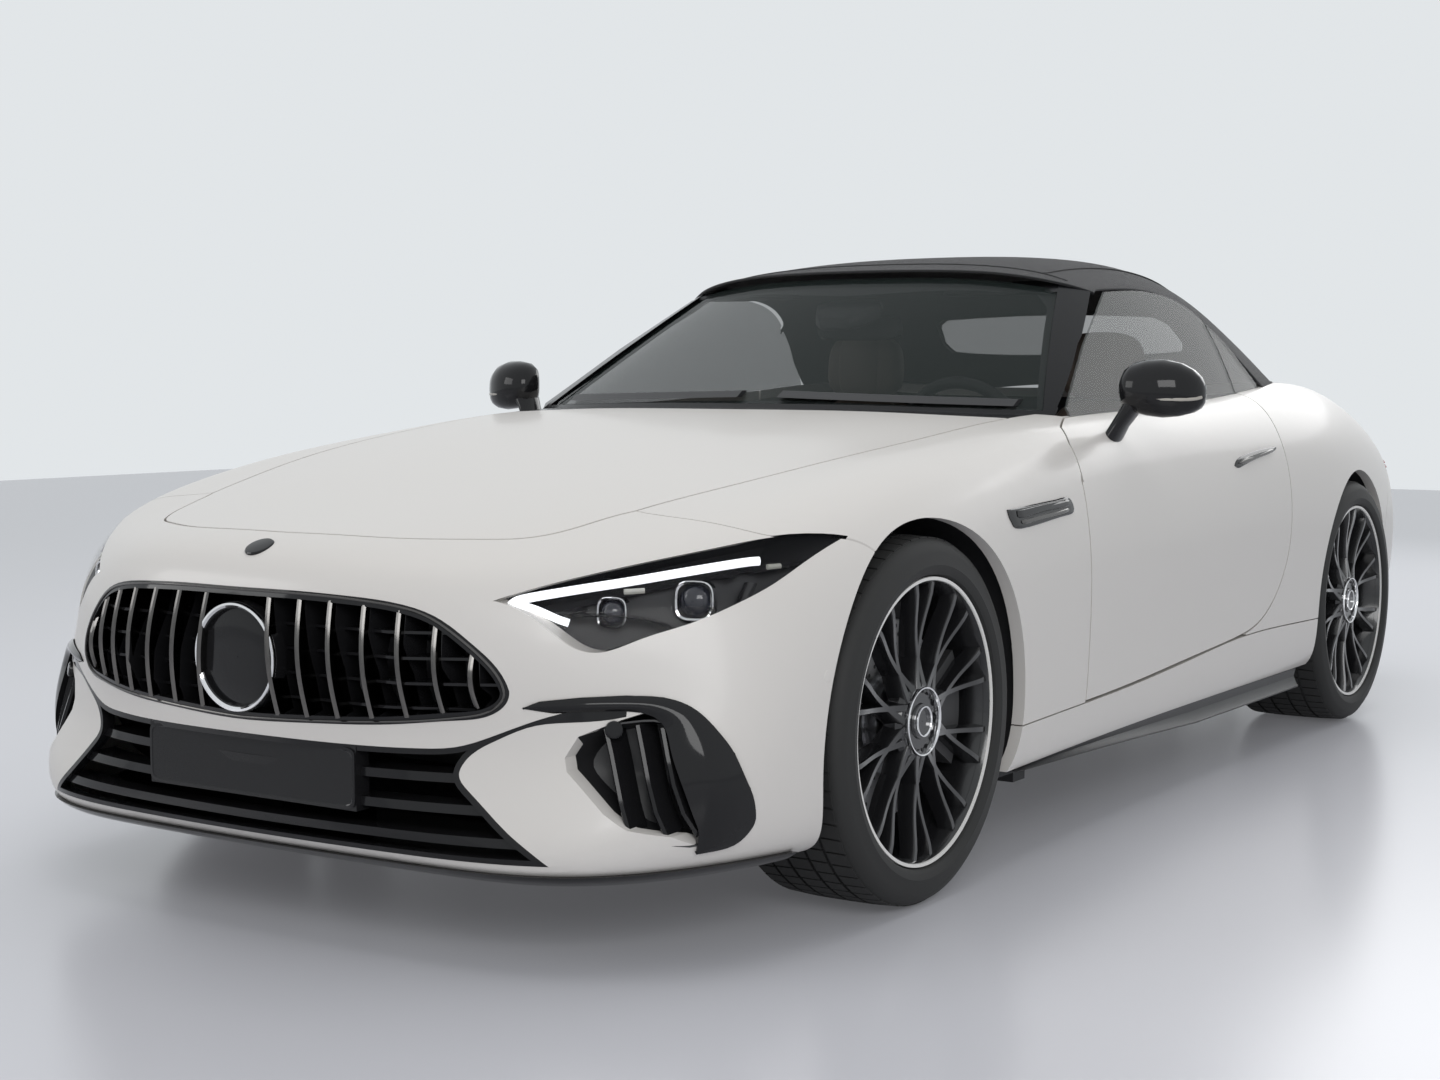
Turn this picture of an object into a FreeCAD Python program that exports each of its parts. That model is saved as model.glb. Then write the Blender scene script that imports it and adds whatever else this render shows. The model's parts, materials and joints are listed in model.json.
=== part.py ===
import FreeCAD, Part
import math
import os
import re

import Sketcher
from FreeCAD import Placement, Rotation, Vector

# Two-seat roadster with a fabric soft top
# x runs forward, y to the left and z up. The origin is on the ground at mid length.
# Every length is in millimetres and every angle in degrees.

SIZES = (
    ("overall_length", 4705, "nose to tail"),
    ("body_width", 1915, "across the wings, without the mirrors"),
    ("overall_height", 1359, "ground to the top of the soft top"),
    ("wheelbase", 2700, "front axle to rear axle"),
    ("front_overhang", 925, "nose to front axle"),
    ("panel_skin", 28, "outer panel together with its inner frame"),
    ("door_depth", 88, "door from its outer skin to its inner trim"),
    ("seat_gap", 0.3, "clearance where a piece seats on another"),
    ("shut_gap", 5, "gap between panels that open"),
    ("glass_gap", 5, "gap round a pane that moves with a door"),
    ("tub_gap", 10, "clearance of the tub round a moving panel"),
    ("cut_overrun", 60, "how far a cutting solid runs past what it cuts"),
    ("floor_bottom", 150, "ground to the underside of the floor"),
    ("floor_thickness", 25, "floor pan"),
    ("wall_thickness", 25, "bulkheads and inner wings"),
    ("floor_front", 520, "nose to the front edge of the floor"),
    ("firewall_station", 1734, "nose to the bulkhead in front of the cabin"),
    ("bulkhead_station", 3500, "nose to the bulkhead behind the cabin"),
    ("nose_beam_station", 240, "nose to the front cross beam"),
    ("nose_beam_depth", 40, "front cross beam along the car"),
    ("nose_beam_bottom", 492, "ground to the front cross beam"),
    ("nose_beam_height", 53, "front cross beam"),
    ("rail_inner", 395, "middle to the inside of a front rail"),
    ("rail_width", 50, "front rail with its inner wing"),
    ("rail_bottom", 300, "ground to the front rail"),
    ("inner_sill", 760, "middle to the inside of a sill box"),
    ("sill_top", 330, "ground to the top of a sill box"),
    ("tunnel_half_width", 130, "centre tunnel"),
    ("tunnel_top", 330, "ground to the top of the tunnel"),
    ("boot_floor", 400, "ground to the boot floor"),
    ("rear_rail_inner", 520, "middle to the inside of a rear wheel housing"),
    ("arch_radius", 395, "front wheel arch in the skin"),
    ("front_housing_radius", 428, "space in which a front wheel steers"),
    ("rear_arch_radius", 388, "rear wheel arch in the skin"),
    ("rear_housing_radius", 400, "space round a rear wheel"),
    ("housing_wall", 12, "wheel housing wall"),
    ("front_tyre_radius", 361, "front tyre"),
    ("front_tyre_width", 275, "front tyre"),
    ("front_wheel_middle", 795, "middle of the car to the middle of a front wheel"),
    ("rear_tyre_radius", 357, "rear tyre"),
    ("rear_tyre_width", 305, "rear tyre"),
    ("rear_wheel_middle", 780, "middle of the car to the middle of a rear wheel"),
    ("sidewall_radius", 335, "where a tyre is widest"),
    ("tread_inset", 23, "edge of the tread inside the sidewall"),
    ("rim_seat_radius", 268, "tyre seat on the rim"),
    ("rim_lip_radius", 282, "rim edge"),
    ("rim_inset", 12, "rim edge inside the sidewall"),
    ("rim_lip_width", 8, "rim edge"),
    ("rim_wall", 9, "barrel of the rim"),
    ("hub_radius", 76, "middle of the wheel"),
    ("hub_depth", 48, "middle of the wheel"),
    ("spoke_inset", 18, "spokes behind the sidewall plane"),
    ("spoke_depth", 26, "spoke along the axle"),
    ("spoke_root", 60, "radius at which a spoke starts"),
    ("spoke_pairs", 10, "crossing pairs of spokes round a wheel"),
    ("spoke_lean", 15, "angle that a spoke leans round the wheel"),
    ("spoke_root_angle", 9, "angle that a spoke covers at the hub"),
    ("spoke_tip_angle", 2.6, "angle that a spoke covers at the rim"),
    ("front_disc_radius", 195, "front brake disc"),
    ("rear_disc_radius", 185, "rear brake disc"),
    ("disc_thickness", 32, "brake disc"),
    ("disc_offset", 10, "inner face of a disc outboard of the wheel middle"),
    ("bell_radius", 84, "bell of a brake disc"),
    ("brake_gap", 6, "caliper clear of the disc"),
    ("caliper_root", 120, "inner radius of a caliper"),
    ("caliper_wall", 24, "caliper over the disc"),
    ("caliper_leg", 30, "caliper beside the disc"),
    ("caliper_angle", 62, "angle that a caliper covers"),
    ("kingpin_inset", 35, "steering axis inboard of the wheel middle"),
    ("knuckle_half_height", 150, "steering knuckle above and below the axle"),
    ("knuckle_half_width", 23, "steering knuckle post"),
    ("carrier_radius", 55, "wheel bearing carrier"),
    ("bracket_half_height", 34, "bracket of a caliper"),
    ("arm_half_width", 34, "suspension arm"),
    ("arm_height", 34, "suspension arm"),
    ("beam_half_width", 70, "axle cross beam"),
    ("beam_reach", 430, "half length of the axle cross beam"),
    ("beam_height", 56, "axle cross beam"),
    ("engine_length", 650, "engine block with its covers"),
    ("engine_half_width", 300, "engine block"),
    ("engine_height", 520, "engine block"),
    ("engine_behind_axle", 425, "rear of the engine behind the front axle"),
    ("screen_frame_depth", 30, "windscreen frame"),
    ("glass_thickness", 5, "windscreen and side glass"),
    ("glass_inset", 9, "windscreen under the frame surface"),
    ("fabric_depth", 24, "soft top with its padding"),
    ("window_inset", 8, "rear window under the fabric"),
    ("grille_recess", 12, "grille bars behind the bumper surface"),
    ("grille_depth", 60, "grille from bars to fins"),
    ("grille_border", 14, "frame round the grille"),
    ("grille_bar", 11, "thickness of an upright bar"),
    ("grille_fin", 5, "thickness of a level fin"),
    ("grille_fin_pitch", 44, "level fins apart"),
    ("emblem_radius", 101, "ring in the middle of the grille"),
    ("emblem_ring", 12, "width of that ring"),
    ("emblem_height", 523, "ground to the middle of the ring"),
    ("emblem_depth", 26, "ring and disc along the car"),
    ("plate_half_width", 260, "blank number plate"),
    ("plate_bottom", 264, "ground to the number plate"),
    ("plate_height", 116, "number plate with its carrier"),
    ("plate_thickness", 34, "number plate with its carrier"),
    ("plate_station", 32, "nose to the number plate"),
    ("slat_thickness", 8, "slats in the lower intakes"),
    ("lower_bar_height", 16, "cross bars in the lower intake"),
    ("splitter_bottom", 134, "ground to the front splitter"),
    ("splitter_top", 176, "top of the splitter under the bumper"),
    ("splitter_reach", 10, "splitter in front of the bumper skin"),
    ("skirt_bottom", 150, "ground to a side skirt"),
    ("skirt_top", 205, "top of a side skirt under the sill"),
    ("skirt_inner", 800, "middle to the inside of a side skirt"),
    ("skirt_outer", 938, "middle to the outside of a side skirt"),
    ("skirt_front", 1335, "nose to the front of a side skirt"),
    ("skirt_rear", 3180, "nose to the rear of a side skirt"),
    ("diffuser_bottom", 170, "ground to the diffuser"),
    ("diffuser_top", 330, "top of the diffuser under the rear bumper"),
    ("diffuser_front", 4150, "nose to the front of the diffuser"),
    ("diffuser_half_width", 700, "diffuser"),
    ("fin_thickness", 12, "upright fins under the diffuser"),
    ("fin_pitch", 210, "diffuser fins apart"),
    ("tip_radius", 48, "exhaust tip"),
    ("tip_wall", 4, "exhaust tip"),
    ("tip_length", 150, "exhaust tip"),
    ("tip_height", 305, "ground to the middle of an exhaust tip"),
    ("tip_spread", 55, "exhaust tips of a pair from their middle"),
    ("tip_middle", 560, "middle of the car to a pair of exhaust tips"),
    ("mirror_station", 1998, "nose to a mirror head"),
    ("mirror_middle", 957, "middle of the car to a mirror head"),
    ("mirror_height", 1002, "ground to the middle of a mirror head"),
    ("mirror_half_length", 74, "mirror head along the car"),
    ("mirror_half_width", 93, "mirror head across the car"),
    ("mirror_half_height", 70, "mirror head"),
    ("mirror_foot_station", 1968, "nose to the foot of a mirror"),
    ("mirror_foot_middle", 852, "middle of the car to the foot of a mirror"),
    ("mirror_foot_radius", 26, "foot of a mirror"),
    ("steering_wheel_radius", 176, "steering wheel"),
    ("steering_rim_radius", 15, "rim of the steering wheel"),
    ("steering_wheel_station", 2150, "nose to the steering wheel"),
    ("steering_wheel_height", 862, "ground to the middle of the steering wheel"),
    ("steering_wheel_tilt", 24, "steering column from level"),
    ("steering_boss_radius", 48, "boss of the steering wheel"),
    ("steering_boss_depth", 36, "boss of the steering wheel"),
    ("column_radius", 30, "steering column"),
    ("column_length", 190, "steering column"),
    ("driver_middle", 385, "middle of the car to the middle of a seat"),
    ("seat_width", 505, "front seat"),
    ("headrest_width", 260, "headrest"),
    ("seat_rail_width", 40, "seat rail on the floor"),
    ("dashboard_half_width", 735, "dashboard"),
    ("console_half_width", 105, "console between the seats"),
    ("console_front", 2060, "nose to the console"),
    ("console_rear", 2960, "nose to the rear of the console"),
    ("console_height", 190, "console over the tunnel"),
    ("rear_seat_front", 3090, "nose to the rear seats"),
    ("rear_seat_height", 500, "ground to the top of the rear cushion"),
    ("rear_back_height", 850, "ground to the top of the rear backrest"),
    ("rear_back_depth", 110, "rear backrest"),
    ("rear_seat_half_width", 495, "rear seats"),
    ("door_hinge_station", 1622, "nose to the hinge axis of a door"),
    ("door_hinge_middle", 922, "middle of the car to that axis"),
    ("jack_pad", 60, "jacking pad under a sill"),
    ("jack_pad_depth", 22, "jacking pad under the floor"),
    ("jack_pad_middle", 740, "middle of the car to a jacking pad"),
    ("jack_front_station", 1560, "nose to a front jacking pad"),
    ("jack_rear_station", 3080, "nose to a rear jacking pad"),
    ("seam_gap", 3, "seam between fixed panels"),
    ("top_panel_front", 1450, "nose to where the cowl may start"),
    ("top_panel_limit", 480, "ground to where the upper panels end"),
    ("front_skin_end", 2000, "nose to the end of the front panels"),
    ("rear_skin_start", 2700, "nose to the start of the rear panels"),
    ("wing_inner", 500, "middle to where a front wing may start"),
    ("quarter_inner", 480, "middle to where a rear quarter may start"),
    ("window_inner", 450, "middle to where the side windows may start"),
    ("screen_reach", 2460, "nose to where the windscreen may end"),
    ("rear_window_front", 3300, "nose to where the rear window may start"),
    ("nose_opening_reach", 460, "nose to where the openings of the nose end"),
    ("lamp_depth", 90, "housing of a lamp behind its lens"),
    ("lamp_reach", 720, "nose to the rear tip of a headlamp"),
    ("tail_lamp_front", 4330, "nose to the front tip of a tail lamp"),
    ("tail_shelf", 800, "ground to the top of the bumper between the tail lamps"),
    ("lid_bottom", 700, "ground to the lower edge of the boot lid"),
    ("belt_height", 860, "ground to the top of the pillars in the doors' frames"),
    ("pillar_inner", 740, "middle to the inside of the door pillars"),
    ("hinge_pillar_front", 1540, "nose to the pillar in front of a door"),
    ("rear_pillar_front", 3030, "nose to the pillar behind a door"),
    ("rear_pillar_length", 60, "pillar behind a door"),
    ("door_stop_front", 2960, "nose to the stop inside a door"),
    ("door_stop_height", 560, "ground to the stop inside a door"),
    ("hinge_box_front", 1600, "nose to a bonnet hinge box"),
    ("hinge_box_inner", 600, "middle to a bonnet hinge box"),
    ("hinge_box_width", 60, "bonnet hinge box"),
    ("nose_beam_half_width", 640, "front cross beam"),
    ("rail_top", 640, "ground to the top of the inner wing"),
    ("rear_liner_bottom", 250, "ground to the lower edge of a rear wheel housing"),
    ("boot_half_width", 545, "boot floor"),
    ("shelf_half_width", 600, "shelf behind the seats"),
    ("shelf_height", 825, "ground to that shelf"),
    ("shelf_rear", 3850, "nose to the rear edge of that shelf"),
    ("tail_beam_front", 4530, "nose to the rear cross beam"),
    ("tail_beam_top", 690, "ground to the top of the rear cross beam"),
    ("latch_half_width", 110, "latch tower of the boot lid"),
    ("latch_top", 770, "ground to the top of the latch tower"),
    ("arm_notch", 130, "notch in a rear housing for the axle"),
    ("rear_notch_top", 580, "ground to the top of that notch"),
    ("drive_half_width", 130, "middle to the side of the rear drive block"),
    ("shaft_radius", 18, "drive shaft"),
    ("drive_half_length", 95, "rear axle drive"),
    ("drive_bottom", 230, "ground to the rear axle drive"),
    ("caliper_turn", -121, "angle of a caliper round its axle"),
    ("spoke_diagonal", 45, "angle at which the first pair of spokes is drawn"),
    ("emblem_station", 2, "nose to the ring"),
    ("emblem_recess", 10, "plain disc behind the ring's face"),
    ("grille_fin_bottom", 452, "ground to the lowest level fin"),
    ("grille_fin_front", 40, "nose to the level fins"),
    ("intake_border", 10, "frame round the lower intake"),
    ("intake_slat_bottom", 222, "ground to the lowest bar of the lower intake"),
    ("intake_slat_pitch", 52, "bars of the lower intake apart"),
    ("skirt_waist", 22, "side skirt narrower at its middle"),
    ("fin_rear", 4600, "nose to the rear end of the diffuser fins"),
    ("tip_rear_station", 4620, "nose to the rear end of the exhaust tips"),
    ("wiper_depth", 12, "wiper over the windscreen"),
    ("wiper_width", 16, "wiper along the windscreen"),
    ("mirror_round", 52, "rounding of a mirror head"),
    ("mirror_foot_height", 868, "ground to the foot of a mirror"),
    ("console_reach", 130, "centre stack in front of the console"),
    ("bridge_top", 700, "ground to the top of the centre stack"),
    ("steering_spoke_width", 34, "spoke of the steering wheel"),
    ("steering_spoke_depth", 12, "spoke of the steering wheel"),
)

# Grille bars, intake vanes and wipers, as shares of half the width and of the height.
GRILLE_BAR_SHARES = ((81.5, 99), (157.5, 173.5), (228.5, 246.5), (299.5, 316.5), (366.5, 382),
                     (432.5, 446), (497, 504.5))
VANE_SHARES = (((745, 322), (690, 236)), ((802, 304), (745, 200)), ((846, 262), (800, 180)))
WIPER_SHARES = (((690, 709), (90, 722)), ((-30, 722), (-640, 712)))
GRILLE_FINS = 4
INTAKE_SLATS = 3
STEERING_SPOKE_ANGLES = (0, 100, -100)

# Body surface
# Rings of control points run from the nose to the tail. Each ring runs from the top
# centre line down the left side to the floor. A point is (from the nose, from the middle,
# from the ground), in thousandths of the length, of half the width and of the height.
BODY_RING_SHARES = (
    ((0, 0, 441.5), (0, 115, 441.5), (0, 198.5, 435.5), (0, 261, 423), (0, 303, 406), (0, 318.5, 386.5),
     (0, 313.5, 368), (0, 292.5, 351.5), (0, 240, 340), (0, 167, 335), (0, 83.5, 332.5), (0, 0, 332.5)),
    ((-1, 0, 485.5), (0.5, 188, 485.5), (4.5, 324, 480), (11, 423, 462), (17.5, 506.5, 434),
     (22, 558.5, 397.5), (24, 585, 360.5), (23, 564, 324), (17, 470, 300), (9.5, 324, 291.5),
     (4, 156.5, 288.5), (2, 0, 287)),
    ((8.5, 0, 535.5), (10.5, 209, 535), (18, 365.5, 528.5), (28.5, 501.5, 513.5), (39.5, 616, 493),
     (47, 699.5, 450.5), (49.5, 736.5, 382.5), (45.5, 731, 316.5), (34, 668.5, 243), (15, 522, 198.5),
     (7.5, 261, 198.5), (4.5, 0, 198.5)),
    ((40.5, 0, 553.5), (42.5, 219.5, 553.5), (50, 407.5, 550.5), (61.5, 574.5, 539.5),
     (72.5, 720.5, 532.5), (79.5, 835.5, 494.5), (82, 893, 404.5), (74.5, 903.5, 316.5),
     (49, 867, 198.5), (10.5, 720.5, 95.5), (4.5, 365.5, 103), (2, 0, 103)),
    ((110.5, 0, 597.5), (110.5, 240, 597.5), (110.5, 449, 593), (110.5, 637, 578.5),
     (110.5, 788.5, 577.5), (110.5, 903.5, 539.5), (110.5, 966, 452.5), (110.5, 981.5, 346),
     (110.5, 976.5, 235.5), (110.5, 966, 121.5), (110.5, 814.5, 99.5), (110.5, 0, 99.5)),
    ((196.5, 0, 646), (196.5, 240, 646), (196.5, 449, 640), (196.5, 647.5, 627), (196.5, 814.5, 631.5),
     (196.5, 929.5, 597.5), (196.5, 997.5, 521), (196.5, 1013, 412), (196.5, 1009, 279.5),
     (196.5, 990, 125), (196.5, 825, 103), (196.5, 0, 103)),
    ((276.5, 0, 680), (276.5, 240, 680.5), (276.5, 459.5, 676), (276.5, 668.5, 660),
     (276.5, 825, 656.5), (276.5, 919, 625.5), (276.5, 971.5, 552), (276.5, 987, 427),
     (276.5, 981.5, 279.5), (276.5, 979.5, 129), (276.5, 825, 103), (276.5, 0, 103)),
    ((350.5, 0, 700), (350.5, 250.5, 700.5), (350.5, 470, 697.5), (350.5, 679, 690),
     (350.5, 827, 684.5), (350.5, 907.5, 652), (350.5, 952.5, 574), (350.5, 976.5, 449),
     (350.5, 966, 294.5), (350.5, 966, 132.5), (350.5, 825, 106.5), (350.5, 0, 106.5)),
    ((467.5, 0, 708), (467.5, 250.5, 708), (467.5, 470, 706.5), (467.5, 689.5, 700.5),
     (467.5, 829, 693), (467.5, 901.5, 664.5), (467.5, 940, 577.5), (467.5, 969, 456),
     (467.5, 948.5, 301.5), (467.5, 955.5, 136), (467.5, 825, 106.5), (467.5, 0, 106.5)),
    ((605.5, 0, 717.5), (605.5, 250.5, 717.5), (605.5, 470, 717.5), (605.5, 679, 714.5),
     (605.5, 823, 714), (605.5, 900.5, 683), (605.5, 952.5, 597.5), (605.5, 979.5, 471),
     (605.5, 963, 316.5), (605.5, 971.5, 140), (605.5, 825, 110.5), (605.5, 0, 110.5)),
    ((691, 0, 725), (691, 250.5, 725), (691, 470, 727), (691, 679, 736), (691, 809.5, 738),
     (691, 900.5, 695.5), (691, 969, 603.5), (691, 994.5, 478.5), (691, 988, 324), (691, 981.5, 143.5),
     (691, 825, 114), (691, 0, 114)),
    ((770.5, 0, 724), (770.5, 250.5, 724), (770.5, 470, 728.5), (770.5, 668.5, 743), (770.5, 796, 743),
     (770.5, 893, 688), (770.5, 969, 588.5), (770.5, 1000.5, 471), (770.5, 997.5, 331),
     (770.5, 979.5, 147), (770.5, 825, 117.5), (770.5, 0, 117.5)),
    ((861, 0, 715), (861, 250.5, 715), (861, 449, 716.5), (861, 616, 719.5), (861, 736.5, 702.5),
     (861, 833.5, 647.5), (861, 910.5, 563), (861, 938, 456), (861, 938, 331), (861, 910.5, 165.5),
     (861, 731, 132.5), (861, 0, 132.5)),
    ((935, 0, 708), (935, 240, 708), (935, 418, 705), (935, 558.5, 691.5), (935, 668.5, 663.5),
     (935, 750, 618), (935, 823, 544.5), (935, 851, 449), (935, 856.5, 331), (935, 830.5, 195),
     (935, 626.5, 158), (935, 0, 158)),
    ((980, 0, 708), (979.5, 230, 707), (976.5, 397, 699), (971.5, 532.5, 675.5), (967, 637, 644),
     (966, 710, 592.5), (969, 762.5, 530), (974.5, 788.5, 445), (972.5, 783.5, 331), (966, 741.5, 228),
     (963, 522, 184), (963, 0, 184)),
    ((986, 0, 662.5), (986, 188, 659.5), (986.5, 334, 647.5), (987, 449, 625.5), (988.5, 532.5, 596),
     (990.5, 585, 555.5), (995.5, 616, 504), (999.5, 621.5, 438), (998, 590, 360.5),
     (992.5, 511.5, 287), (989.5, 282, 254), (988.5, 0, 250)),
    ((999, 0, 507.5), (999, 94, 506.5), (999, 167, 502), (999, 224.5, 494.5), (999, 261, 485.5),
     (999, 282, 471), (999, 287, 452.5), (999, 280, 434), (999, 250.5, 415.5), (999, 198.5, 403),
     (999, 104.5, 397.5), (999, 0, 396)),
)
BONNET_FRONT_SHARES = (
    (28, 0), (29, 115), (32.5, 266.5), (45.5, 413.5), (54, 473), (67.5, 518), (85.5, 545), (101, 571.5),
)
BONNET_SIDE_SHARES = (
    (101, 571.5), (131, 610), (159, 647.5), (217, 702), (261.5, 728), (306.5, 741.5), (361.5, 743.5),
)
BONNET_REAR_SHARES = (
    (361.5, 743.5), (353, 585), (345.5, 313.5), (343.5, 0),
)
BUMPER_REAR_SHARES = (
    (101, 571.5), (101.5, 707), (110.5, 840.5), (140.5, 917), (170, 1044.5),
)
LAMP_SHARES = (
    (520, 473), (556.5, 483.5), (641.5, 503.5), (736.5, 523), (798, 535), (851, 544.5), (877.5, 545.5),
     (917, 539.5),
)
LAMP_LOWER_SHARES = (
    (917, 539.5), (909.5, 520), (891, 488.5), (855.5, 464.5), (810.5, 444.5), (743.5, 424.5),
     (685, 408.5), (662, 412), (633, 425.5), (566, 460.5), (520, 473),
)
GRILLE_UPPER_SHARES = (
    (0, 478.5), (144, 478.5), (264, 475.5), (368.5, 467.5), (435.5, 452), (499, 419.5), (544, 386.5),
     (561, 360.5),
)
GRILLE_LOWER_SHARES = (
    (561, 360.5), (555.5, 344.5), (528.5, 329), (467, 321), (366.5, 313.5), (177.5, 306), (0, 301.5),
)
CENTRE_INTAKE_SHARES = (
    (0, 282.5), (400, 282.5), (470, 287), (524.5, 300), (622.5, 328), (736.5, 338.5),
)
CENTRE_INTAKE_LOWER_SHARES = (
    (736.5, 328), (670.5, 321.5), (600.5, 316.5), (536, 296.5), (484.5, 270), (475, 252.5),
     (499, 230.5), (586, 180.5), (627.5, 159), (651.5, 144),
)
SIDE_INTAKE_SHARES = (
    (580.5, 338.5), (608, 347.5), (669.5, 352.5), (734, 354.5), (785.5, 351.5), (825, 339),
     (859.5, 314), (890, 279), (906.5, 232.5), (906.5, 198), (897, 176), (875, 156.5), (843, 152.5),
)
SIDE_INTAKE_LOWER_SHARES = (
    (843, 152.5), (848, 163.5), (824, 179), (766.5, 190), (729, 209.5), (657, 259.5), (650.5, 276.5),
     (668.5, 303), (731, 324), (762.5, 332.5), (730, 335.5), (628.5, 332.5), (580.5, 338.5),
)
SIDE_HOLE_SHARES = (
    (679, 307.5), (778, 318), (811.5, 279.5), (850, 231), (853.5, 165), (824, 170), (766.5, 182),
     (729, 202), (650, 250), (645, 276.5),
)
DOOR_FRONT_SHARES = (
    (354.5, 225), (356.5, 326), (356.5, 424), (356.5, 521.5), (357.5, 586.5), (359, 809.5),
)
DOOR_BOTTOM_SHARES = (
    (354.5, 225), (425.5, 230.5), (507, 245), (561, 257), (593, 276), (616.5, 320), (632.5, 390),
     (638.5, 478.5), (640, 588.5), (640, 809.5),
)
DOOR_TOP_SHARES = (
    (359, 940), (361.5, 900.5), (372, 854.5), (395.5, 810.5), (425, 806.5),
)
SILL_REAR_SHARES = (
    (561, 257), (595, 259), (637.5, 257.5), (701.5, 254),
)
QUARTER_BUMPER_SHARES = (
    (839.5, 316.5), (847, 382.5), (863, 441.5), (892.5, 489.5), (920.5, 515), (935, 541),
)
DECK_EDGE_SHARES = (
    (739.5, 752), (765, 752), (799, 720.5), (834, 668.5),
)
LID_SIDE_SHARES = (
    (834, 668.5), (871.5, 652.5), (914, 626.5), (948, 585), (1020, 543),
)
TAIL_LAMP_SHARES = (
    (344.5, 588.5), (501.5, 597.5), (626.5, 593), (731, 578.5), (804, 556.5), (940, 541),
)
TAIL_LAMP_LOWER_SHARES = (
    (940, 515), (804, 524), (679, 537), (501.5, 553.5), (344.5, 563),
)
SCREEN_SHARES = (
    ((331.5, 0, 647.5), (333.5, 261, 647.5), (341, 501.5, 643), (354, 689.5, 634.5), (365.5, 788.5, 622)),
    ((360.5, 0, 702.5), (362.5, 261, 702), (369.5, 501.5, 698.5), (381.5, 694.5, 691.5),
     (395.5, 809.5, 684.5)),
    ((420, 0, 839), (422, 240, 838), (428.5, 459.5, 831.5), (439, 637, 817), (451.5, 731, 802)),
    ((482.5, 0, 956), (484.5, 209, 955), (490, 397, 948.5), (498.5, 543, 936), (511, 628.5, 917.5)),
)
SCREEN_GLASS_SHARES = (
    (0, 705), (313.5, 704), (585, 699), (754, 695.5), (668.5, 798.5), (558.5, 928.5), (522, 936),
     (365.5, 942), (0, 946.5),
)
SOFT_TOP_SHARES = (
    ((475.5, 0, 953.5), (478, 209, 953), (483, 397, 947), (492, 527.5, 935), (501.5, 600.5, 920),
     (505.5, 639, 906.5)),
    ((520.5, 0, 981.5), (520.5, 209, 981), (523, 418, 970), (526, 543, 950.5), (529, 622.5, 928.5),
     (531.5, 662, 909.5)),
    ((574, 0, 998.5), (574, 209, 997), (574, 418, 986), (574, 545, 962.5), (574, 628.5, 936),
     (574, 670.5, 906.5)),
    ((616.5, 0, 1003.5), (616.5, 209, 1001.5), (616.5, 418, 988), (616.5, 548.5, 959.5),
     (616.5, 637, 924), (616.5, 693.5, 880)),
    ((659, 0, 996.5), (659, 209, 993.5), (659, 418, 977), (659, 553.5, 944), (659, 673.5, 886.5),
     (659, 748, 809.5)),
    ((701.5, 0, 962.5), (701.5, 209, 959), (701.5, 418, 936), (701.5, 579.5, 889),
     (699.5, 720.5, 809.5), (693.5, 800, 717.5)),
    ((735.5, 0, 909.5), (735.5, 209, 906), (734.5, 418, 883), (732, 605.5, 831.5), (729, 736.5, 769),
     (722.5, 814.5, 680.5)),
    ((769.5, 0, 831.5), (769.5, 209, 828), (767.5, 418, 807), (762, 616, 765.5), (755.5, 746.5, 721),
     (748, 820, 673.5)),
    ((795, 0, 736), (794, 209, 733), (789.5, 418, 717.5), (782, 616, 695.5), (773.5, 743.5, 677),
     (763, 820, 655)),
)
REAR_WINDOW_SHARES = (
    (0, 798.5), (313.5, 800.5), (407.5, 805.5), (423, 828), (402, 868.5), (365.5, 883), (0, 892),
)
SIDE_GLASS_SHARES = (
    ((361.5, 835.5, 647.5), (446.5, 837.5, 651), (531.5, 842, 655), (616.5, 842, 662.5),
     (669.5, 830.5, 666), (722.5, 809.5, 669.5)),
    ((382.5, 720, 791), (457, 742, 794.5), (531.5, 765, 798.5), (605.5, 772, 802), (659, 767.5, 805.5),
     (712, 746.5, 809.5)),
    ((404, 600, 949), (467.5, 615, 949), (531.5, 637, 949), (595, 643.5, 949), (648, 649.5, 949),
     (701.5, 645.5, 949)),
)
DOOR_GLASS_SHARES = (
    (404, 662.5), (404, 699), (457, 808), (514, 911), (552.5, 917), (586.5, 912.5), (616.5, 890.5),
     (632.5, 865.5), (635.5, 809.5), (636.5, 662.5),
)
QUARTER_GLASS_SHARES = (
    (638.5, 662.5), (637, 809.5), (634.5, 858), (654.5, 818), (671.5, 772.5), (685.5, 725), (693, 662.5),
)
HEADER_SHARES = (
    (479.5, 0), (481.5, 209), (487, 397), (495.5, 543), (508, 628.5), (518.5, 710),
)
CABIN_FRONT_SHARES = (
    (373, 0), (375, 313.5), (380.5, 501.5), (390, 668.5), (398.5, 798),
)
SILL_TOP_SHARES = (
    (255, 219.5), (354.5, 221.5), (425.5, 226.5), (507, 241.5), (561, 253), (595, 255.5), (637.5, 254),
     (712, 250),
)
DASHBOARD_SHARES = (
    (374, 412), (374, 588.5), (382.5, 625.5), (399.5, 646), (421, 647.5), (435.5, 625.5), (440, 588.5),
     (433.5, 530), (423, 485.5), (416.5, 412),
)
SEAT_SHARES = (
    (495, 191.5), (491, 294.5), (499.5, 335), (574, 309), (593, 324), (612, 515), (629, 684.5),
     (642, 699), (650.5, 684.5), (639.5, 441.5), (627, 243), (612, 191.5),
)
HEADREST_SHARES = (
    (632.5, 691.5), (624, 736), (626, 809.5), (632.5, 839), (643, 840.5), (648, 809.5), (646, 736),
     (641, 691.5),
)

# Windscreen, soft top, windows and the cabin use the same shares as the body.

DEGREE = 3
THOUSAND = 1000
ROUND_CORNERS = 0
SHARP_CORNERS = 2

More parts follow.
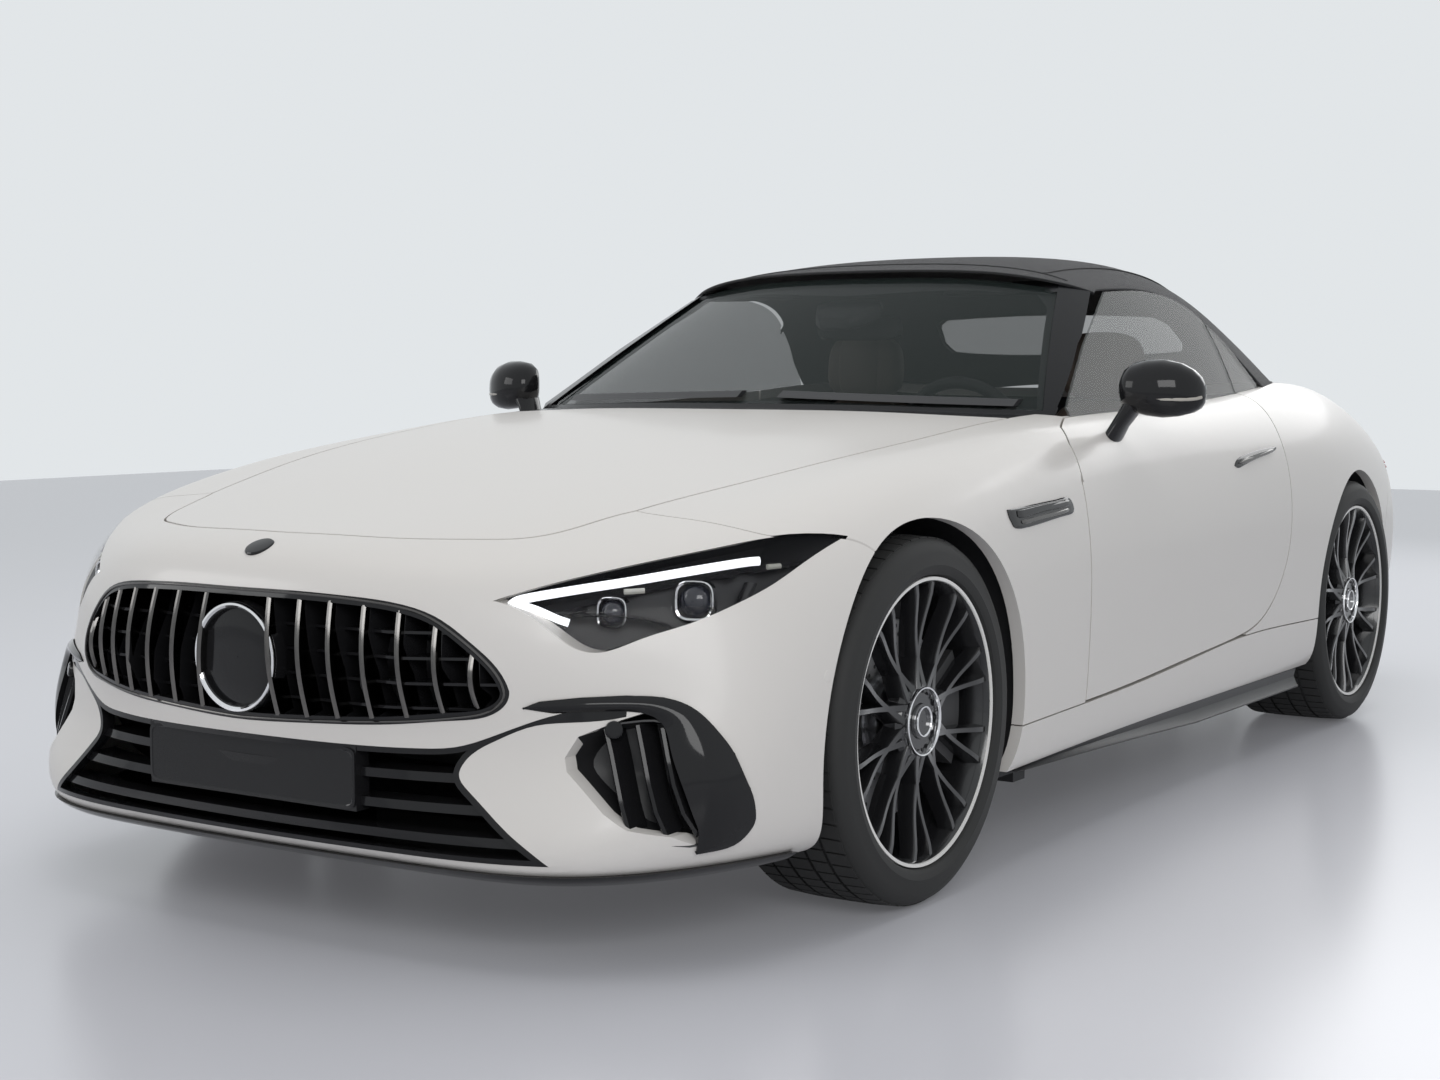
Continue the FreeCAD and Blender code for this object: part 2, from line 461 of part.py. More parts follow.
doc = FreeCAD.newDocument("Roadster")
sheet = doc.addObject("Spreadsheet::Sheet", "Sizes")
for row, (name, value, meaning) in enumerate(SIZES, start=1):
    sheet.set("A%d" % row, name)
    sheet.set("B%d" % row, str(value))
    sheet.setAlias("B%d" % row, name)
    sheet.set("C%d" % row, meaning)
doc.recompute()


class SheetSizes:
    """Reads a size from the sheet by its name."""

    def __getattr__(self, name):
        return float(sheet.get(name))


mm = SheetSizes()
aliases = re.compile(r"\b(%s)\b" % "|".join(name for name, value, meaning in SIZES))
nodes = []


def bind(feature, prop, formula):
    """Ties a property to the sheet with a formula in the names of its sizes."""
    feature.setExpression(prop, aliases.sub(r"Sizes.\1", formula))


def along(share):
    return mm.overall_length * share / THOUSAND


def across(share):
    return mm.body_width / 2 * share / THOUSAND


def upward(share):
    return mm.overall_height * share / THOUSAND


def at(station, side, height):
    """Point from its distance behind the nose, left of the middle and above the ground."""
    return Vector(mm.overall_length / 2 - station, side, height)


def plan_points(table):
    return [at(along(s), across(y), 0) for s, y in table]


def side_points(table):
    return [at(along(s), 0, upward(z)) for s, z in table]


def front_points(table):
    return [at(0, across(y), upward(z)) for y, z in table]


def flipped(points):
    """The same points on the other side of the car, in the opposite order."""
    return [Vector(p.x, -p.y, p.z) for p in reversed(points)]


def over_middle(points):
    """A stroke that starts or ends on the middle plane, carried on to the other side."""
    if abs(points[0].y) < mm.seat_gap:
        return flipped(points)[:-1] + points
    return points + flipped(points)[1:]


def corners(points):
    """Straight strokes from each point to the next."""
    return [[a, b] for a, b in zip(points, points[1:])]


def stroke_edge(points):
    if len(points) == 2:
        return Part.makeLine(points[0], points[1])
    curve = Part.BSplineCurve()
    curve.interpolate(points)
    return curve.toShape()


def plain_edge(edge):
    """The edge as a spline of its own, where it is the offset of another curve."""
    if not isinstance(edge.Curve, Part.OffsetCurve):
        return edge
    return edge.Curve.toBSpline(edge.FirstParameter, edge.LastParameter).toShape()


def prism(strokes, start, reach, grow):
    """Solid over an outline of strokes, which straight lines join where their ends differ."""
    edges = []
    for points, following in zip(strokes, strokes[1:] + strokes[:1]):
        edges.append(stroke_edge(points))
        if not points[-1].isEqual(following[0], mm.seat_gap):
            edges.append(Part.makeLine(points[-1], following[0]))
    face = Part.Face(Part.Wire(Part.sortEdges(edges)[0]))
    if grow:
        grown = face.makeOffset2D(grow, join=ROUND_CORNERS if grow > 0 else SHARP_CORNERS).Faces[0]
        grown_edges = [plain_edge(edge) for edge in grown.OuterWire.Edges]
        face = Part.Face(Part.Wire(Part.sortEdges(grown_edges)[0]))
    face.translate(start)
    return face.extrude(reach)


def plan_prism(strokes, bottom, top, grow=0):
    return prism(strokes, Vector(0, 0, bottom), Vector(0, 0, top - bottom), grow)


def side_prism(strokes, inner, outer, grow=0):
    return prism(strokes, Vector(0, inner, 0), Vector(0, outer - inner, 0), grow)


def front_prism(strokes, front, rear, grow=0):
    return prism(strokes, Vector(-front, 0, 0), Vector(front - rear, 0, 0), grow)


def block(front, rear, inner, outer, bottom, top):
    return Part.makeBox(rear - front, outer - inner, top - bottom, at(rear, inner, bottom))


def crosswise(radius, station, height, inner, outer):
    """Cylinder across the car."""
    return Part.makeCylinder(radius, outer - inner, at(station, inner, height), Vector(0, 1, 0))


def mirrored(shape):
    return shape.mirror(Vector(0, 0, 0), Vector(0, 1, 0))


def both(shape):
    return Part.makeCompound([shape, mirrored(shape)])


def fused(shapes):
    return shapes[0].fuse(shapes[1:]).removeSplitter()


def main_solids(shape, count):
    """The piece itself, without slivers that a cut leaves beside it."""
    kept = sorted(shape.Solids, key=lambda solid: solid.Volume)[-count:]
    return kept[0] if count == 1 else Part.makeCompound(kept)


def node(name, shape):
    feature = doc.addObject("Part::Feature", name)
    feature.Label = name
    feature.Shape = shape
    nodes.append(feature)
    return feature


def mirror_node(source, name):
    """The right-hand piece of a pair."""
    mirror = doc.addObject("Part::Mirroring", name)
    mirror.Label = name
    mirror.Source = source
    mirror.Normal = Vector(0, 1, 0)
    nodes.append(mirror)
    return mirror


# Curved surfaces
# A net is a list of rows of control points. The outside lies on the side of the cross
# product of the row direction and the direction along a row.

def knots(count):
    degree = min(DEGREE, count - 1)
    spans = count - degree
    return [float(k) for k in range(spans + 1)], [degree + 1] + [1] * (spans - 1) + [degree + 1], degree


def body_net():
    net = []
    for table in BODY_RING_SHARES:
        half = [at(along(s), across(y), upward(z)) for s, y, z in table]
        net.append(half[::-1] + [Vector(p.x, -p.y, p.z) for p in half[1:-1]])
    return net


def half_net(table):
    """Net over the middle plane from rows that start there."""
    net = []
    for line in table:
        half = [at(along(s), across(y), upward(z)) for s, y, z in line]
        net.append(half[::-1] + [Vector(p.x, -p.y, p.z) for p in half[1:]])
    return net


def side_net(table):
    return [[at(along(s), across(y), upward(z)) for s, y, z in reversed(line)] for line in table]


def sunk(net, depth, closed=False):
    """Net whose surface lies a depth under that of the first one."""
    last = len(net) - 1
    width = len(net[0])
    result = []
    for i, line in enumerate(net):
        moved = []
        for j, point in enumerate(line):
            ahead = net[min(i + 1, last)][j] - net[max(i - 1, 0)][j]
            if closed:
                beside = line[(j + 1) % width] - line[j - 1]
            else:
                beside = line[min(j + 1, width - 1)] - line[max(j - 1, 0)]
            outward = ahead.cross(beside).normalize()
            if closed and i == 0:
                outward = Vector(1, 0, 0)
            if closed and i == last:
                outward = Vector(-1, 0, 0)
            moved.append(point - outward * depth)
        result.append(moved)
    return result


def net_surface(net, closed=False):
    rows, row_counts, row_degree = knots(len(net))
    columns, column_counts, column_degree = knots(len(net[0]))
    if closed:
        columns = [float(k) for k in range(len(net[0]) + 1)]
        column_counts = [1] * len(columns)
    surface = Part.BSplineSurface()
    surface.buildFromPolesMultsKnots(
        net, row_counts, column_counts, rows, columns, False, closed, row_degree,
        column_degree)
    return surface


def sewn(faces):
    shell = Part.makeShell(faces)
    shell.sewShape()
    solid = Part.makeSolid(shell if shell.ShapeType == "Shell" else shell.Shells[0])
    if solid.Volume < 0:
        solid.reverse()
    return solid


def body_solid(depth):
    """Everything that lies more than a depth inside the body surface."""
    skin_face = net_surface(sunk(NET, depth, True), True).toShape()
    ends = [Part.Face(Part.Wire([edge])) for edge in skin_face.Edges if edge.isClosed()]
    return sewn([skin_face] + ends)


def slab(net, depth):
    """Solid of even thickness under a net's surface."""
    top = net_surface(net)
    bottom = net_surface(sunk(net, depth))
    first_row, last_row, first_column, last_column = top.bounds()
    rims = [(top.uIso(first_row), bottom.uIso(first_row)),
            (top.uIso(last_row), bottom.uIso(last_row)),
            (top.vIso(first_column), bottom.vIso(first_column)),
            (top.vIso(last_column), bottom.vIso(last_column))]
    walls = [Part.makeRuledSurface(a.toShape(), b.toShape()) for a, b in rims]
    return sewn([top.toShape(), bottom.toShape()] + walls)


# Places that several pieces share

NET = body_net()
front_axle_station = mm.front_overhang
rear_axle_station = mm.front_overhang + mm.wheelbase
beyond = mm.body_width
floor_top = mm.floor_bottom + mm.floor_thickness
tub_depth = mm.panel_skin + mm.seat_gap
rail_outer = mm.rail_inner + mm.rail_width
kingpin_middle = mm.front_wheel_middle - mm.kingpin_inset
half_shut = mm.shut_gap / 2

outer_body = body_solid(0)
panel_space = body_solid(mm.panel_skin)
tub_space = body_solid(tub_depth)
door_space = body_solid(mm.door_depth)
lamp_space = body_solid(mm.lamp_depth)
seat_body = body_solid(-mm.seat_gap)
skin = outer_body.cut(panel_space)

front_arch = crosswise(mm.arch_radius, front_axle_station, mm.front_tyre_radius, rail_outer, beyond)
rear_arch = crosswise(mm.rear_arch_radius, rear_axle_station, mm.rear_tyre_radius,
                      mm.rear_rail_inner, beyond)
front_housing = crosswise(mm.front_housing_radius, front_axle_station, mm.front_tyre_radius,
                          rail_outer, beyond)
rear_housing = crosswise(mm.rear_housing_radius, rear_axle_station, mm.rear_tyre_radius,
                         mm.rear_rail_inner + mm.wall_thickness, beyond)


# Panel outlines

def bonnet_region(grow):
    side = plan_points(BONNET_SIDE_SHARES)
    strokes = [over_middle(plan_points(BONNET_FRONT_SHARES)), side,
               over_middle(plan_points(BONNET_REAR_SHARES)), flipped(side)]
    return plan_prism(strokes, mm.top_panel_limit, mm.overall_height, grow)


def nose_region(grow):
    seam = plan_points(BUMPER_REAR_SHARES)
    wide = [Vector(seam[-1].x, beyond, 0), at(-mm.cut_overrun, beyond, 0)]
    strokes = [seam] + corners([seam[-1]] + wide + flipped(wide) + [flipped(seam)[0]])
    strokes.append(flipped(seam))
    return plan_prism(strokes, 0, mm.overall_height, grow)


def lamp_region(grow):
    strokes = [front_points(LAMP_SHARES), front_points(LAMP_LOWER_SHARES)]
    return front_prism(strokes, 0, mm.lamp_reach, grow)


def cowl_region(grow):
    rear = over_middle(plan_points(CABIN_FRONT_SHARES))
    front = mm.top_panel_front
    strokes = [rear] + corners([rear[-1], at(front, rear[-1].y, 0), at(front, rear[0].y, 0), rear[0]])
    wide = plan_prism(strokes, mm.top_panel_limit, mm.overall_height, grow)
    half_width = plan_points(BONNET_SIDE_SHARES)[-1].y - half_shut + grow
    return wide.common(block(0, mm.overall_length, -half_width, half_width,
                             mm.top_panel_limit, mm.overall_height))


def cabin_region():
    front = over_middle(plan_points(CABIN_FRONT_SHARES))
    door = plan_points(DOOR_TOP_SHARES)[-1]
    deck = plan_points(DECK_EDGE_SHARES)[0]
    pillar = Vector(side_points(DOOR_BOTTOM_SHARES)[-1].x, door.y, 0)
    left = [front[-1], door, pillar, deck]
    strokes = [front] + corners(left + flipped(left))
    return plan_prism(strokes, mm.top_panel_limit, mm.overall_height)


def door_region(grow):
    strokes = [side_points(DOOR_FRONT_SHARES)[::-1], side_points(DOOR_BOTTOM_SHARES)]
    side = side_prism(strokes, 0, beyond, grow)
    inner = plan_points(DOOR_TOP_SHARES)
    rear = at(mm.overall_length, inner[-1].y, 0)
    wide = [inner[-1], rear, Vector(rear.x, beyond, 0), at(0, beyond, 0), at(0, inner[0].y, 0), inner[0]]
    plan = plan_prism(corners(inner + wide[1:]), 0, mm.overall_height, grow)
    return side.common(plan)


def sill_region(grow):
    top = side_points(SILL_TOP_SHARES)
    low = mm.skirt_top + mm.seat_gap
    strokes = [top] + corners([top[-1], Vector(top[-1].x, 0, low), Vector(top[0].x, 0, low), top[0]])
    return side_prism(strokes, mm.inner_sill, beyond, grow)


def deck_region(grow):
    side = plan_points(DECK_EDGE_SHARES)
    strokes = [side, [side[-1], flipped(side)[0]], flipped(side), [flipped(side)[-1], side[0]]]
    return plan_prism(strokes, mm.top_panel_limit, mm.overall_height, grow)


def lid_plan(bottom, top, grow):
    side = plan_points(LID_SIDE_SHARES)
    strokes = [side, [side[-1], flipped(side)[0]], flipped(side), [flipped(side)[-1], side[0]]]
    return plan_prism(strokes, bottom, top, grow)


def lid_region(grow):
    """The boot lid reaches down between the tail lamps and stops over them at the sides."""
    lid = lid_plan(mm.lid_bottom - grow, mm.overall_height, grow)
    top = front_points(TAIL_LAMP_SHARES)
    under = [top[-1], Vector(top[-1].x, top[-1].y, 0), Vector(top[0].x, top[0].y, 0), top[0]]
    lamps = front_prism([top] + corners(under), mm.tail_lamp_front, mm.overall_length + mm.cut_overrun,
                        mm.shut_gap - grow)
    return lid.cut([lamps, mirrored(lamps)])


def tail_lamp_region(grow):
    strokes = [front_points(TAIL_LAMP_SHARES), front_points(TAIL_LAMP_LOWER_SHARES)]
    return front_prism(strokes, mm.tail_lamp_front, mm.overall_length + mm.cut_overrun, grow)


def tail_region(grow):
    seam = side_points(QUARTER_BUMPER_SHARES)
    rear = at(mm.overall_length + mm.cut_overrun, 0, seam[-1].z)
    low = [seam[-1], rear, Vector(rear.x, 0, 0), Vector(seam[0].x, 0, 0), seam[0]]
    return side_prism([seam] + corners(low), -beyond, beyond, grow)


# Body panels

splitter_cut = block(-mm.cut_overrun, mm.floor_front, -beyond, beyond, 0, mm.splitter_top + mm.seat_gap)
diffuser_cut = block(mm.diffuser_front - mm.seat_gap, mm.overall_length + mm.cut_overrun,
                     -mm.diffuser_half_width - mm.seat_gap, mm.diffuser_half_width + mm.seat_gap,
                     0, mm.diffuser_top + mm.seat_gap)
front_skin = skin.common(block(-mm.cut_overrun, mm.front_skin_end, -beyond, beyond, 0, mm.overall_height))
rear_skin = skin.common(block(mm.rear_skin_start, mm.overall_length + mm.cut_overrun, -beyond, beyond,
                              0, mm.overall_height))
tip_bores = []
for middle in (mm.tip_middle - mm.tip_spread, mm.tip_middle + mm.tip_spread):
    for side in (middle, -middle):
        tip_bores.append(Part.makeCylinder(mm.tip_radius + mm.seat_gap, mm.overall_length / 2,
                                           at(mm.overall_length + mm.cut_overrun, side, mm.tip_height),
                                           Vector(1, 0, 0)))


def grille_region(grow):
    strokes = [over_middle(front_points(GRILLE_UPPER_SHARES)),
               over_middle(front_points(GRILLE_LOWER_SHARES))]
    return front_prism(strokes, -mm.cut_overrun, mm.nose_opening_reach, grow)


def centre_intake_region(grow):
    upper = over_middle(front_points(CENTRE_INTAKE_SHARES))
    lower = front_points(CENTRE_INTAKE_LOWER_SHARES)
    strokes = [upper, lower, [lower[-1], flipped(lower)[0]], flipped(lower)]
    return front_prism(strokes, -mm.cut_overrun, mm.nose_opening_reach, grow)


def side_intake_region(grow):
    outline = front_points(SIDE_INTAKE_SHARES + SIDE_INTAKE_LOWER_SHARES[1:])
    return front_prism(corners(outline), -mm.cut_overrun, mm.nose_opening_reach, grow)


def side_hole_region(grow):
    outline = front_points(SIDE_HOLE_SHARES + SIDE_HOLE_SHARES[:1])
    return front_prism(corners(outline), -mm.cut_overrun, mm.nose_opening_reach, grow)


node("bonnet", main_solids(front_skin.common(bonnet_region(-half_shut)), 1))

nose = front_skin.common(nose_region(0))
nose = nose.cut([bonnet_region(half_shut), splitter_cut, front_arch, mirrored(front_arch)])
nose = nose.cut([lamp_region(mm.seat_gap), mirrored(lamp_region(mm.seat_gap)),
                 grille_region(mm.seat_gap), centre_intake_region(mm.seat_gap),
                 side_intake_region(mm.seat_gap), mirrored(side_intake_region(mm.seat_gap))])
node("front_bumper", main_solids(nose, 1))

lamp = outer_body.common(lamp_region(0)).cut([lamp_space, bonnet_region(half_shut)])
lamp = lamp.cut(crosswise(mm.front_housing_radius + mm.housing_wall + mm.seat_gap, front_axle_station,
                          mm.front_tyre_radius, 0, beyond))
node("headlamps", both(main_solids(lamp, 1)))

wing = front_skin.common(block(0, mm.overall_length, mm.wing_inner, beyond, 0, mm.overall_height))
wing = wing.cut([nose_region(mm.seam_gap), bonnet_region(half_shut), lamp_region(mm.seam_gap),
                 cowl_region(half_shut), cabin_region(), door_region(half_shut), front_arch])
sill_edge = side_points(SILL_TOP_SHARES)
under_edge = [sill_edge[-1], Vector(sill_edge[-1].x, 0, -beyond), Vector(at(0, 0, 0).x, 0, -beyond),
              Vector(at(0, 0, 0).x, 0, sill_edge[0].z), sill_edge[0]]
under_sill = side_prism([sill_edge] + corners(under_edge), 0, beyond, mm.seam_gap)
wing = wing.cut(under_sill)
node("wings", both(main_solids(wing, 1)))

door = outer_body.common(door_region(-half_shut)).cut(door_space)
swing = at(mm.door_hinge_station, mm.door_hinge_middle, 0)
swing_radius = swing.x - side_points(DOOR_BOTTOM_SHARES)[-1].x - half_shut
door = door.common(Part.makeCylinder(swing_radius, mm.overall_height, swing))
door_left = node("door_left", main_solids(door, 1))
mirror_node(door_left, "door_right")

sill = skin.common(sill_region(0))
sill = sill.cut([front_arch, rear_arch])
node("sills", both(main_solids(sill, 1)))

quarter = rear_skin.common(block(0, mm.overall_length, mm.quarter_inner, beyond, mm.skirt_top,
                                 mm.overall_height))
quarter = quarter.cut([door_region(half_shut), under_sill, tail_region(mm.seam_gap),
                       deck_region(mm.seam_gap), lid_plan(0, mm.overall_height, half_shut),
                       tail_lamp_region(mm.seam_gap), cabin_region(), rear_arch])
node("quarter_panels", both(main_solids(quarter, 1)))

node("deck_cover", main_solids(rear_skin.common(deck_region(0)).cut(lid_plan(0, mm.overall_height,
                                                                             mm.shut_gap)), 1))
node("boot_lid", main_solids(rear_skin.common(lid_region(-half_shut)), 1))

tail = rear_skin.common(tail_region(0).fuse(lid_plan(0, mm.tail_shelf, 0)))
tail = tail.cut([lid_region(half_shut), tail_lamp_region(mm.seat_gap),
                 mirrored(tail_lamp_region(mm.seat_gap)), rear_arch, mirrored(rear_arch), diffuser_cut])
tail = tail.cut(tip_bores)
node("rear_bumper", main_solids(tail, 1))

tail_lamp = outer_body.common(tail_lamp_region(0)).cut([lamp_space, lid_region(half_shut)])
node("tail_lamps", both(main_solids(tail_lamp, 1)))

pan = rear_skin.common(block(mm.diffuser_front, mm.overall_length, -mm.diffuser_half_width,
                             mm.diffuser_half_width, 0, mm.diffuser_top))
fins = []
for count in (-2, -1, 0, 1, 2):
    side = count * mm.fin_pitch - mm.fin_thickness / 2
    fins.append(block(mm.diffuser_front, mm.fin_rear, side, side + mm.fin_thickness,
                      mm.diffuser_bottom, mm.diffuser_top))
fins = fins[0].fuse(fins[1:]).cut(panel_space)
node("diffuser", main_solids(pan.fuse(fins).cut(tip_bores), 1))

lip = body_solid(-mm.splitter_reach).cut(panel_space)
lip = lip.common(block(-mm.cut_overrun, mm.floor_front - mm.seat_gap, -beyond, beyond,
                       mm.splitter_bottom, mm.splitter_top))
lip = lip.cut([front_housing, mirrored(front_housing)])
node("splitter", main_solids(lip, 1))

skirt_line = [at(mm.skirt_front, mm.skirt_outer, 0),
              at((mm.skirt_front + mm.skirt_rear) / 2, mm.skirt_outer - mm.skirt_waist, 0),
              at(mm.skirt_rear, mm.skirt_outer, 0)]
skirt_inside = [skirt_line[-1], at(mm.skirt_rear, mm.skirt_inner, 0), at(mm.skirt_front, mm.skirt_inner, 0),
                skirt_line[0]]
skirt = plan_prism([skirt_line] + corners(skirt_inside), mm.skirt_bottom, mm.skirt_top)
skirt = skirt.cut([front_housing, rear_housing])
node("side_skirts", both(main_solids(skirt, 1)))

tips = []
for middle in (mm.tip_middle - mm.tip_spread, mm.tip_middle + mm.tip_spread):
    start = at(mm.tip_rear_station, middle, mm.tip_height)
    tube = Part.makeCylinder(mm.tip_radius, mm.tip_length, start, Vector(1, 0, 0))
    tips.append(tube.cut(Part.makeCylinder(mm.tip_radius - mm.tip_wall, mm.tip_length - mm.tip_wall, start,
                                           Vector(1, 0, 0))))
node("exhaust_tips", Part.makeCompound(tips + [mirrored(tip) for tip in tips]))


# Grille and intakes

def nose_layer(outer_depth, inner_depth):
    """What lies between two depths under the front of the body."""
    front = block(-mm.cut_overrun, mm.nose_opening_reach + mm.cut_overrun, -beyond, beyond,
                  0, mm.overall_height)
    return body_solid(outer_depth).common(front).cut(body_solid(inner_depth))


def nose_opening(points):
    return front_prism(corners(points), -mm.cut_overrun, mm.nose_opening_reach)


grille_layer = nose_layer(mm.grille_recess, mm.grille_recess + mm.grille_depth)
frame_layer = nose_layer(0, mm.panel_skin)
grille_frame = frame_layer.common(grille_region(0).cut(grille_region(-mm.grille_border)))
bars = []
for top_share, bottom_share in GRILLE_BAR_SHARES:
    top = at(0, across(top_share), upward(GRILLE_UPPER_SHARES[0][1]))
    bottom = at(0, across(bottom_share), upward(GRILLE_LOWER_SHARES[-1][1]))
    half_bar = Vector(0, mm.grille_bar / 2, 0)
    bars.append(nose_opening([top - half_bar, top + half_bar, bottom + half_bar, bottom - half_bar,
                              top - half_bar]))
fins = []
for count in range(GRILLE_FINS):
    height = mm.grille_fin_bottom + count * mm.grille_fin_pitch
    fins.append(block(mm.grille_fin_front, mm.nose_opening_reach, -beyond, beyond,
                      height, height + mm.grille_fin))
lattice = bars[0].fuse(bars[1:] + [mirrored(bar) for bar in bars] + fins)
lattice = grille_layer.common(grille_region(-mm.grille_border / 2)).common(lattice)
middle = at(mm.emblem_station, 0, mm.emblem_height)
backwards = Vector(-1, 0, 0)
emblem = Part.makeCylinder(mm.emblem_radius, mm.emblem_depth, middle, backwards)
emblem = emblem.cut(Part.makeCylinder(mm.emblem_radius - mm.emblem_ring, mm.emblem_recess, middle,
                                      backwards))
node("grille", main_solids(fused([grille_frame, emblem, lattice]), 1))

intake_frame = frame_layer.common(centre_intake_region(0).cut(centre_intake_region(-mm.intake_border)))
intake_slats = []
for count in range(INTAKE_SLATS):
    height = mm.intake_slat_bottom + count * mm.intake_slat_pitch
    intake_slats.append(block(-mm.cut_overrun, mm.nose_opening_reach, -beyond, beyond,
                              height, height + mm.lower_bar_height))
inside_frame = grille_layer.common(centre_intake_region(-mm.intake_border / 2))
intake_slats = inside_frame.common(Part.makeCompound(intake_slats))
plate = block(mm.plate_station, mm.plate_station + mm.plate_thickness, -mm.plate_half_width,
              mm.plate_half_width, mm.plate_bottom, mm.plate_bottom + mm.plate_height)
node("lower_grille", main_solids(fused([intake_frame, plate] + intake_slats.Solids), 1))

blade = frame_layer.common(side_intake_region(0)).cut(side_hole_region(0))
vanes = []
for top_share, bottom_share in VANE_SHARES:
    top = front_points([top_share])[0]
    bottom = front_points([bottom_share])[0]
    half_vane = Vector(0, mm.slat_thickness / 2, 0)
    vanes.append(nose_opening([top - half_vane, top + half_vane, bottom + half_vane,
                               bottom - half_vane, top - half_vane]))
vanes = grille_layer.common(side_intake_region(0)).common(Part.makeCompound(vanes))
intake = fused([blade] + vanes.Solids).cut(centre_intake_region(mm.seat_gap))
node("side_intakes", both(main_solids(intake, 1)))


# Windscreen, soft top and windows

def header_region(gap):
    """Everything more than a gap behind the front edge of the soft top."""
    line = over_middle(plan_points(HEADER_SHARES))
    left = Vector(line[-1].x, beyond, 0)
    far = at(mm.overall_length, beyond, 0)
    wide = [line[-1], left, far] + flipped([left, far]) + [line[0]]
    region = plan_prism([line] + corners(wide), mm.top_panel_limit, mm.overall_height + mm.cut_overrun)
    return region.translated(Vector(-gap, 0, 0))


def windscreen_region(grow):
    points = front_points(SCREEN_GLASS_SHARES)
    side = points[3:6]
    strokes = [over_middle(points[:4])] + corners(side) + [over_middle(points[5:])]
    strokes += corners(flipped(side))
    return front_prism(strokes, mm.top_panel_front, mm.screen_reach, grow)


def rear_window_region(grow):
    points = front_points(REAR_WINDOW_SHARES)
    side = points[2:6]
    strokes = [over_middle(points[:3])] + corners(side) + [over_middle(points[5:])]
    strokes += corners(flipped(side))
    return front_prism(strokes, mm.rear_window_front, mm.overall_length, grow)


def door_glass_region(grow):
    points = side_points(DOOR_GLASS_SHARES)
    strokes = corners(points[:4]) + [points[3:8]] + corners(points[7:])
    return side_prism(strokes, mm.window_inner, beyond, grow)


def quarter_glass_region(grow):
    points = side_points(QUARTER_GLASS_SHARES)
    return side_prism(corners(points[:3]) + [points[2:]], mm.window_inner, beyond, grow)


screen_net = half_net(SCREEN_SHARES)
soft_net = half_net(SOFT_TOP_SHARES)
side_glass_net = side_net(SIDE_GLASS_SHARES)
door_windows = both(door_glass_region(mm.glass_gap))
quarter_windows = both(quarter_glass_region(mm.seat_gap))

screen_slab = slab(screen_net, mm.screen_frame_depth)
cowl = front_skin.common(cowl_region(-half_shut)).cut(bonnet_region(half_shut))
foot = screen_slab.common(cowl_region(-half_shut)).cut([panel_space, bonnet_region(half_shut)])
frame = screen_slab.cut(seat_body).fuse([main_solids(cowl, 1), foot])
frame = frame.cut([header_region(0), windscreen_region(0)] + door_windows.Solids)
screen_frame = node("windscreen_frame", main_solids(frame, 1))
screen = slab(sunk(screen_net, mm.glass_inset), mm.glass_thickness).common(windscreen_region(-mm.seat_gap))
screen = screen.cut(header_region(0))
node("windscreen", main_solids(screen, 1))

fabric = slab(soft_net, mm.fabric_depth).common(header_region(mm.seat_gap)).cut(seat_body)
fabric = fabric.cut([rear_window_region(0)] + door_windows.Solids + quarter_windows.Solids)
node("soft_top", main_solids(fabric, 1))

rear_pane = slab(sunk(soft_net, mm.window_inset), mm.glass_thickness)
rear_pane = rear_pane.common(rear_window_region(-mm.seat_gap))
side_pane = slab(side_glass_net, mm.glass_thickness)
quarter_pane = side_pane.common(quarter_glass_region(0)).cut([seat_body, door_glass_region(mm.glass_gap)])
node("rear_glass", Part.makeCompound([main_solids(rear_pane, 1), main_solids(quarter_pane, 1),
                                      mirrored(main_solids(quarter_pane, 1))]))
door_glass = node("door_glass_left", main_solids(side_pane.common(door_glass_region(0)).cut(seat_body), 1))
mirror_node(door_glass, "door_glass_right")

wiper_net = sunk(screen_net, mm.glass_inset - mm.seat_gap - mm.wiper_depth)
blades = []
for start_share, end_share in WIPER_SHARES:
    start, end = front_points([start_share, end_share])
    half_blade = Vector(0, 0, mm.wiper_width / 2)
    blades.append(front_prism(corners([start - half_blade, start + half_blade, end + half_blade,
                                       end - half_blade, start - half_blade]),
                              mm.top_panel_front, mm.screen_reach))
wipers = slab(wiper_net, mm.wiper_depth).common(Part.makeCompound(blades))
wipers = wipers.cut([seat_body, screen_frame.Shape])
node("wipers", main_solids(wipers, len(WIPER_SHARES)))


# Mirrors

head = block(mm.mirror_station - mm.mirror_half_length, mm.mirror_station + mm.mirror_half_length,
             mm.mirror_middle - mm.mirror_half_width, mm.mirror_middle + mm.mirror_half_width,
             mm.mirror_height - mm.mirror_half_height, mm.mirror_height + mm.mirror_half_height)
rounded = [edge for edge in head.Edges if edge.BoundBox.XMax > head.BoundBox.XMin + mm.seat_gap]
head = head.makeFillet(mm.mirror_round, rounded)
head_middle = at(mm.mirror_station, mm.mirror_middle, mm.mirror_height)
foot_start = at(mm.mirror_foot_station, mm.mirror_foot_middle, mm.mirror_foot_height)
reach = head_middle - foot_start
foot = Part.makeCylinder(mm.mirror_foot_radius, reach.Length, foot_start, reach)
foot = main_solids(foot.cut(seat_body), 1)
mirror_left = node("mirror_left", main_solids(head.fuse(foot), 1))
mirror_node(mirror_left, "mirror_right")


# Tub

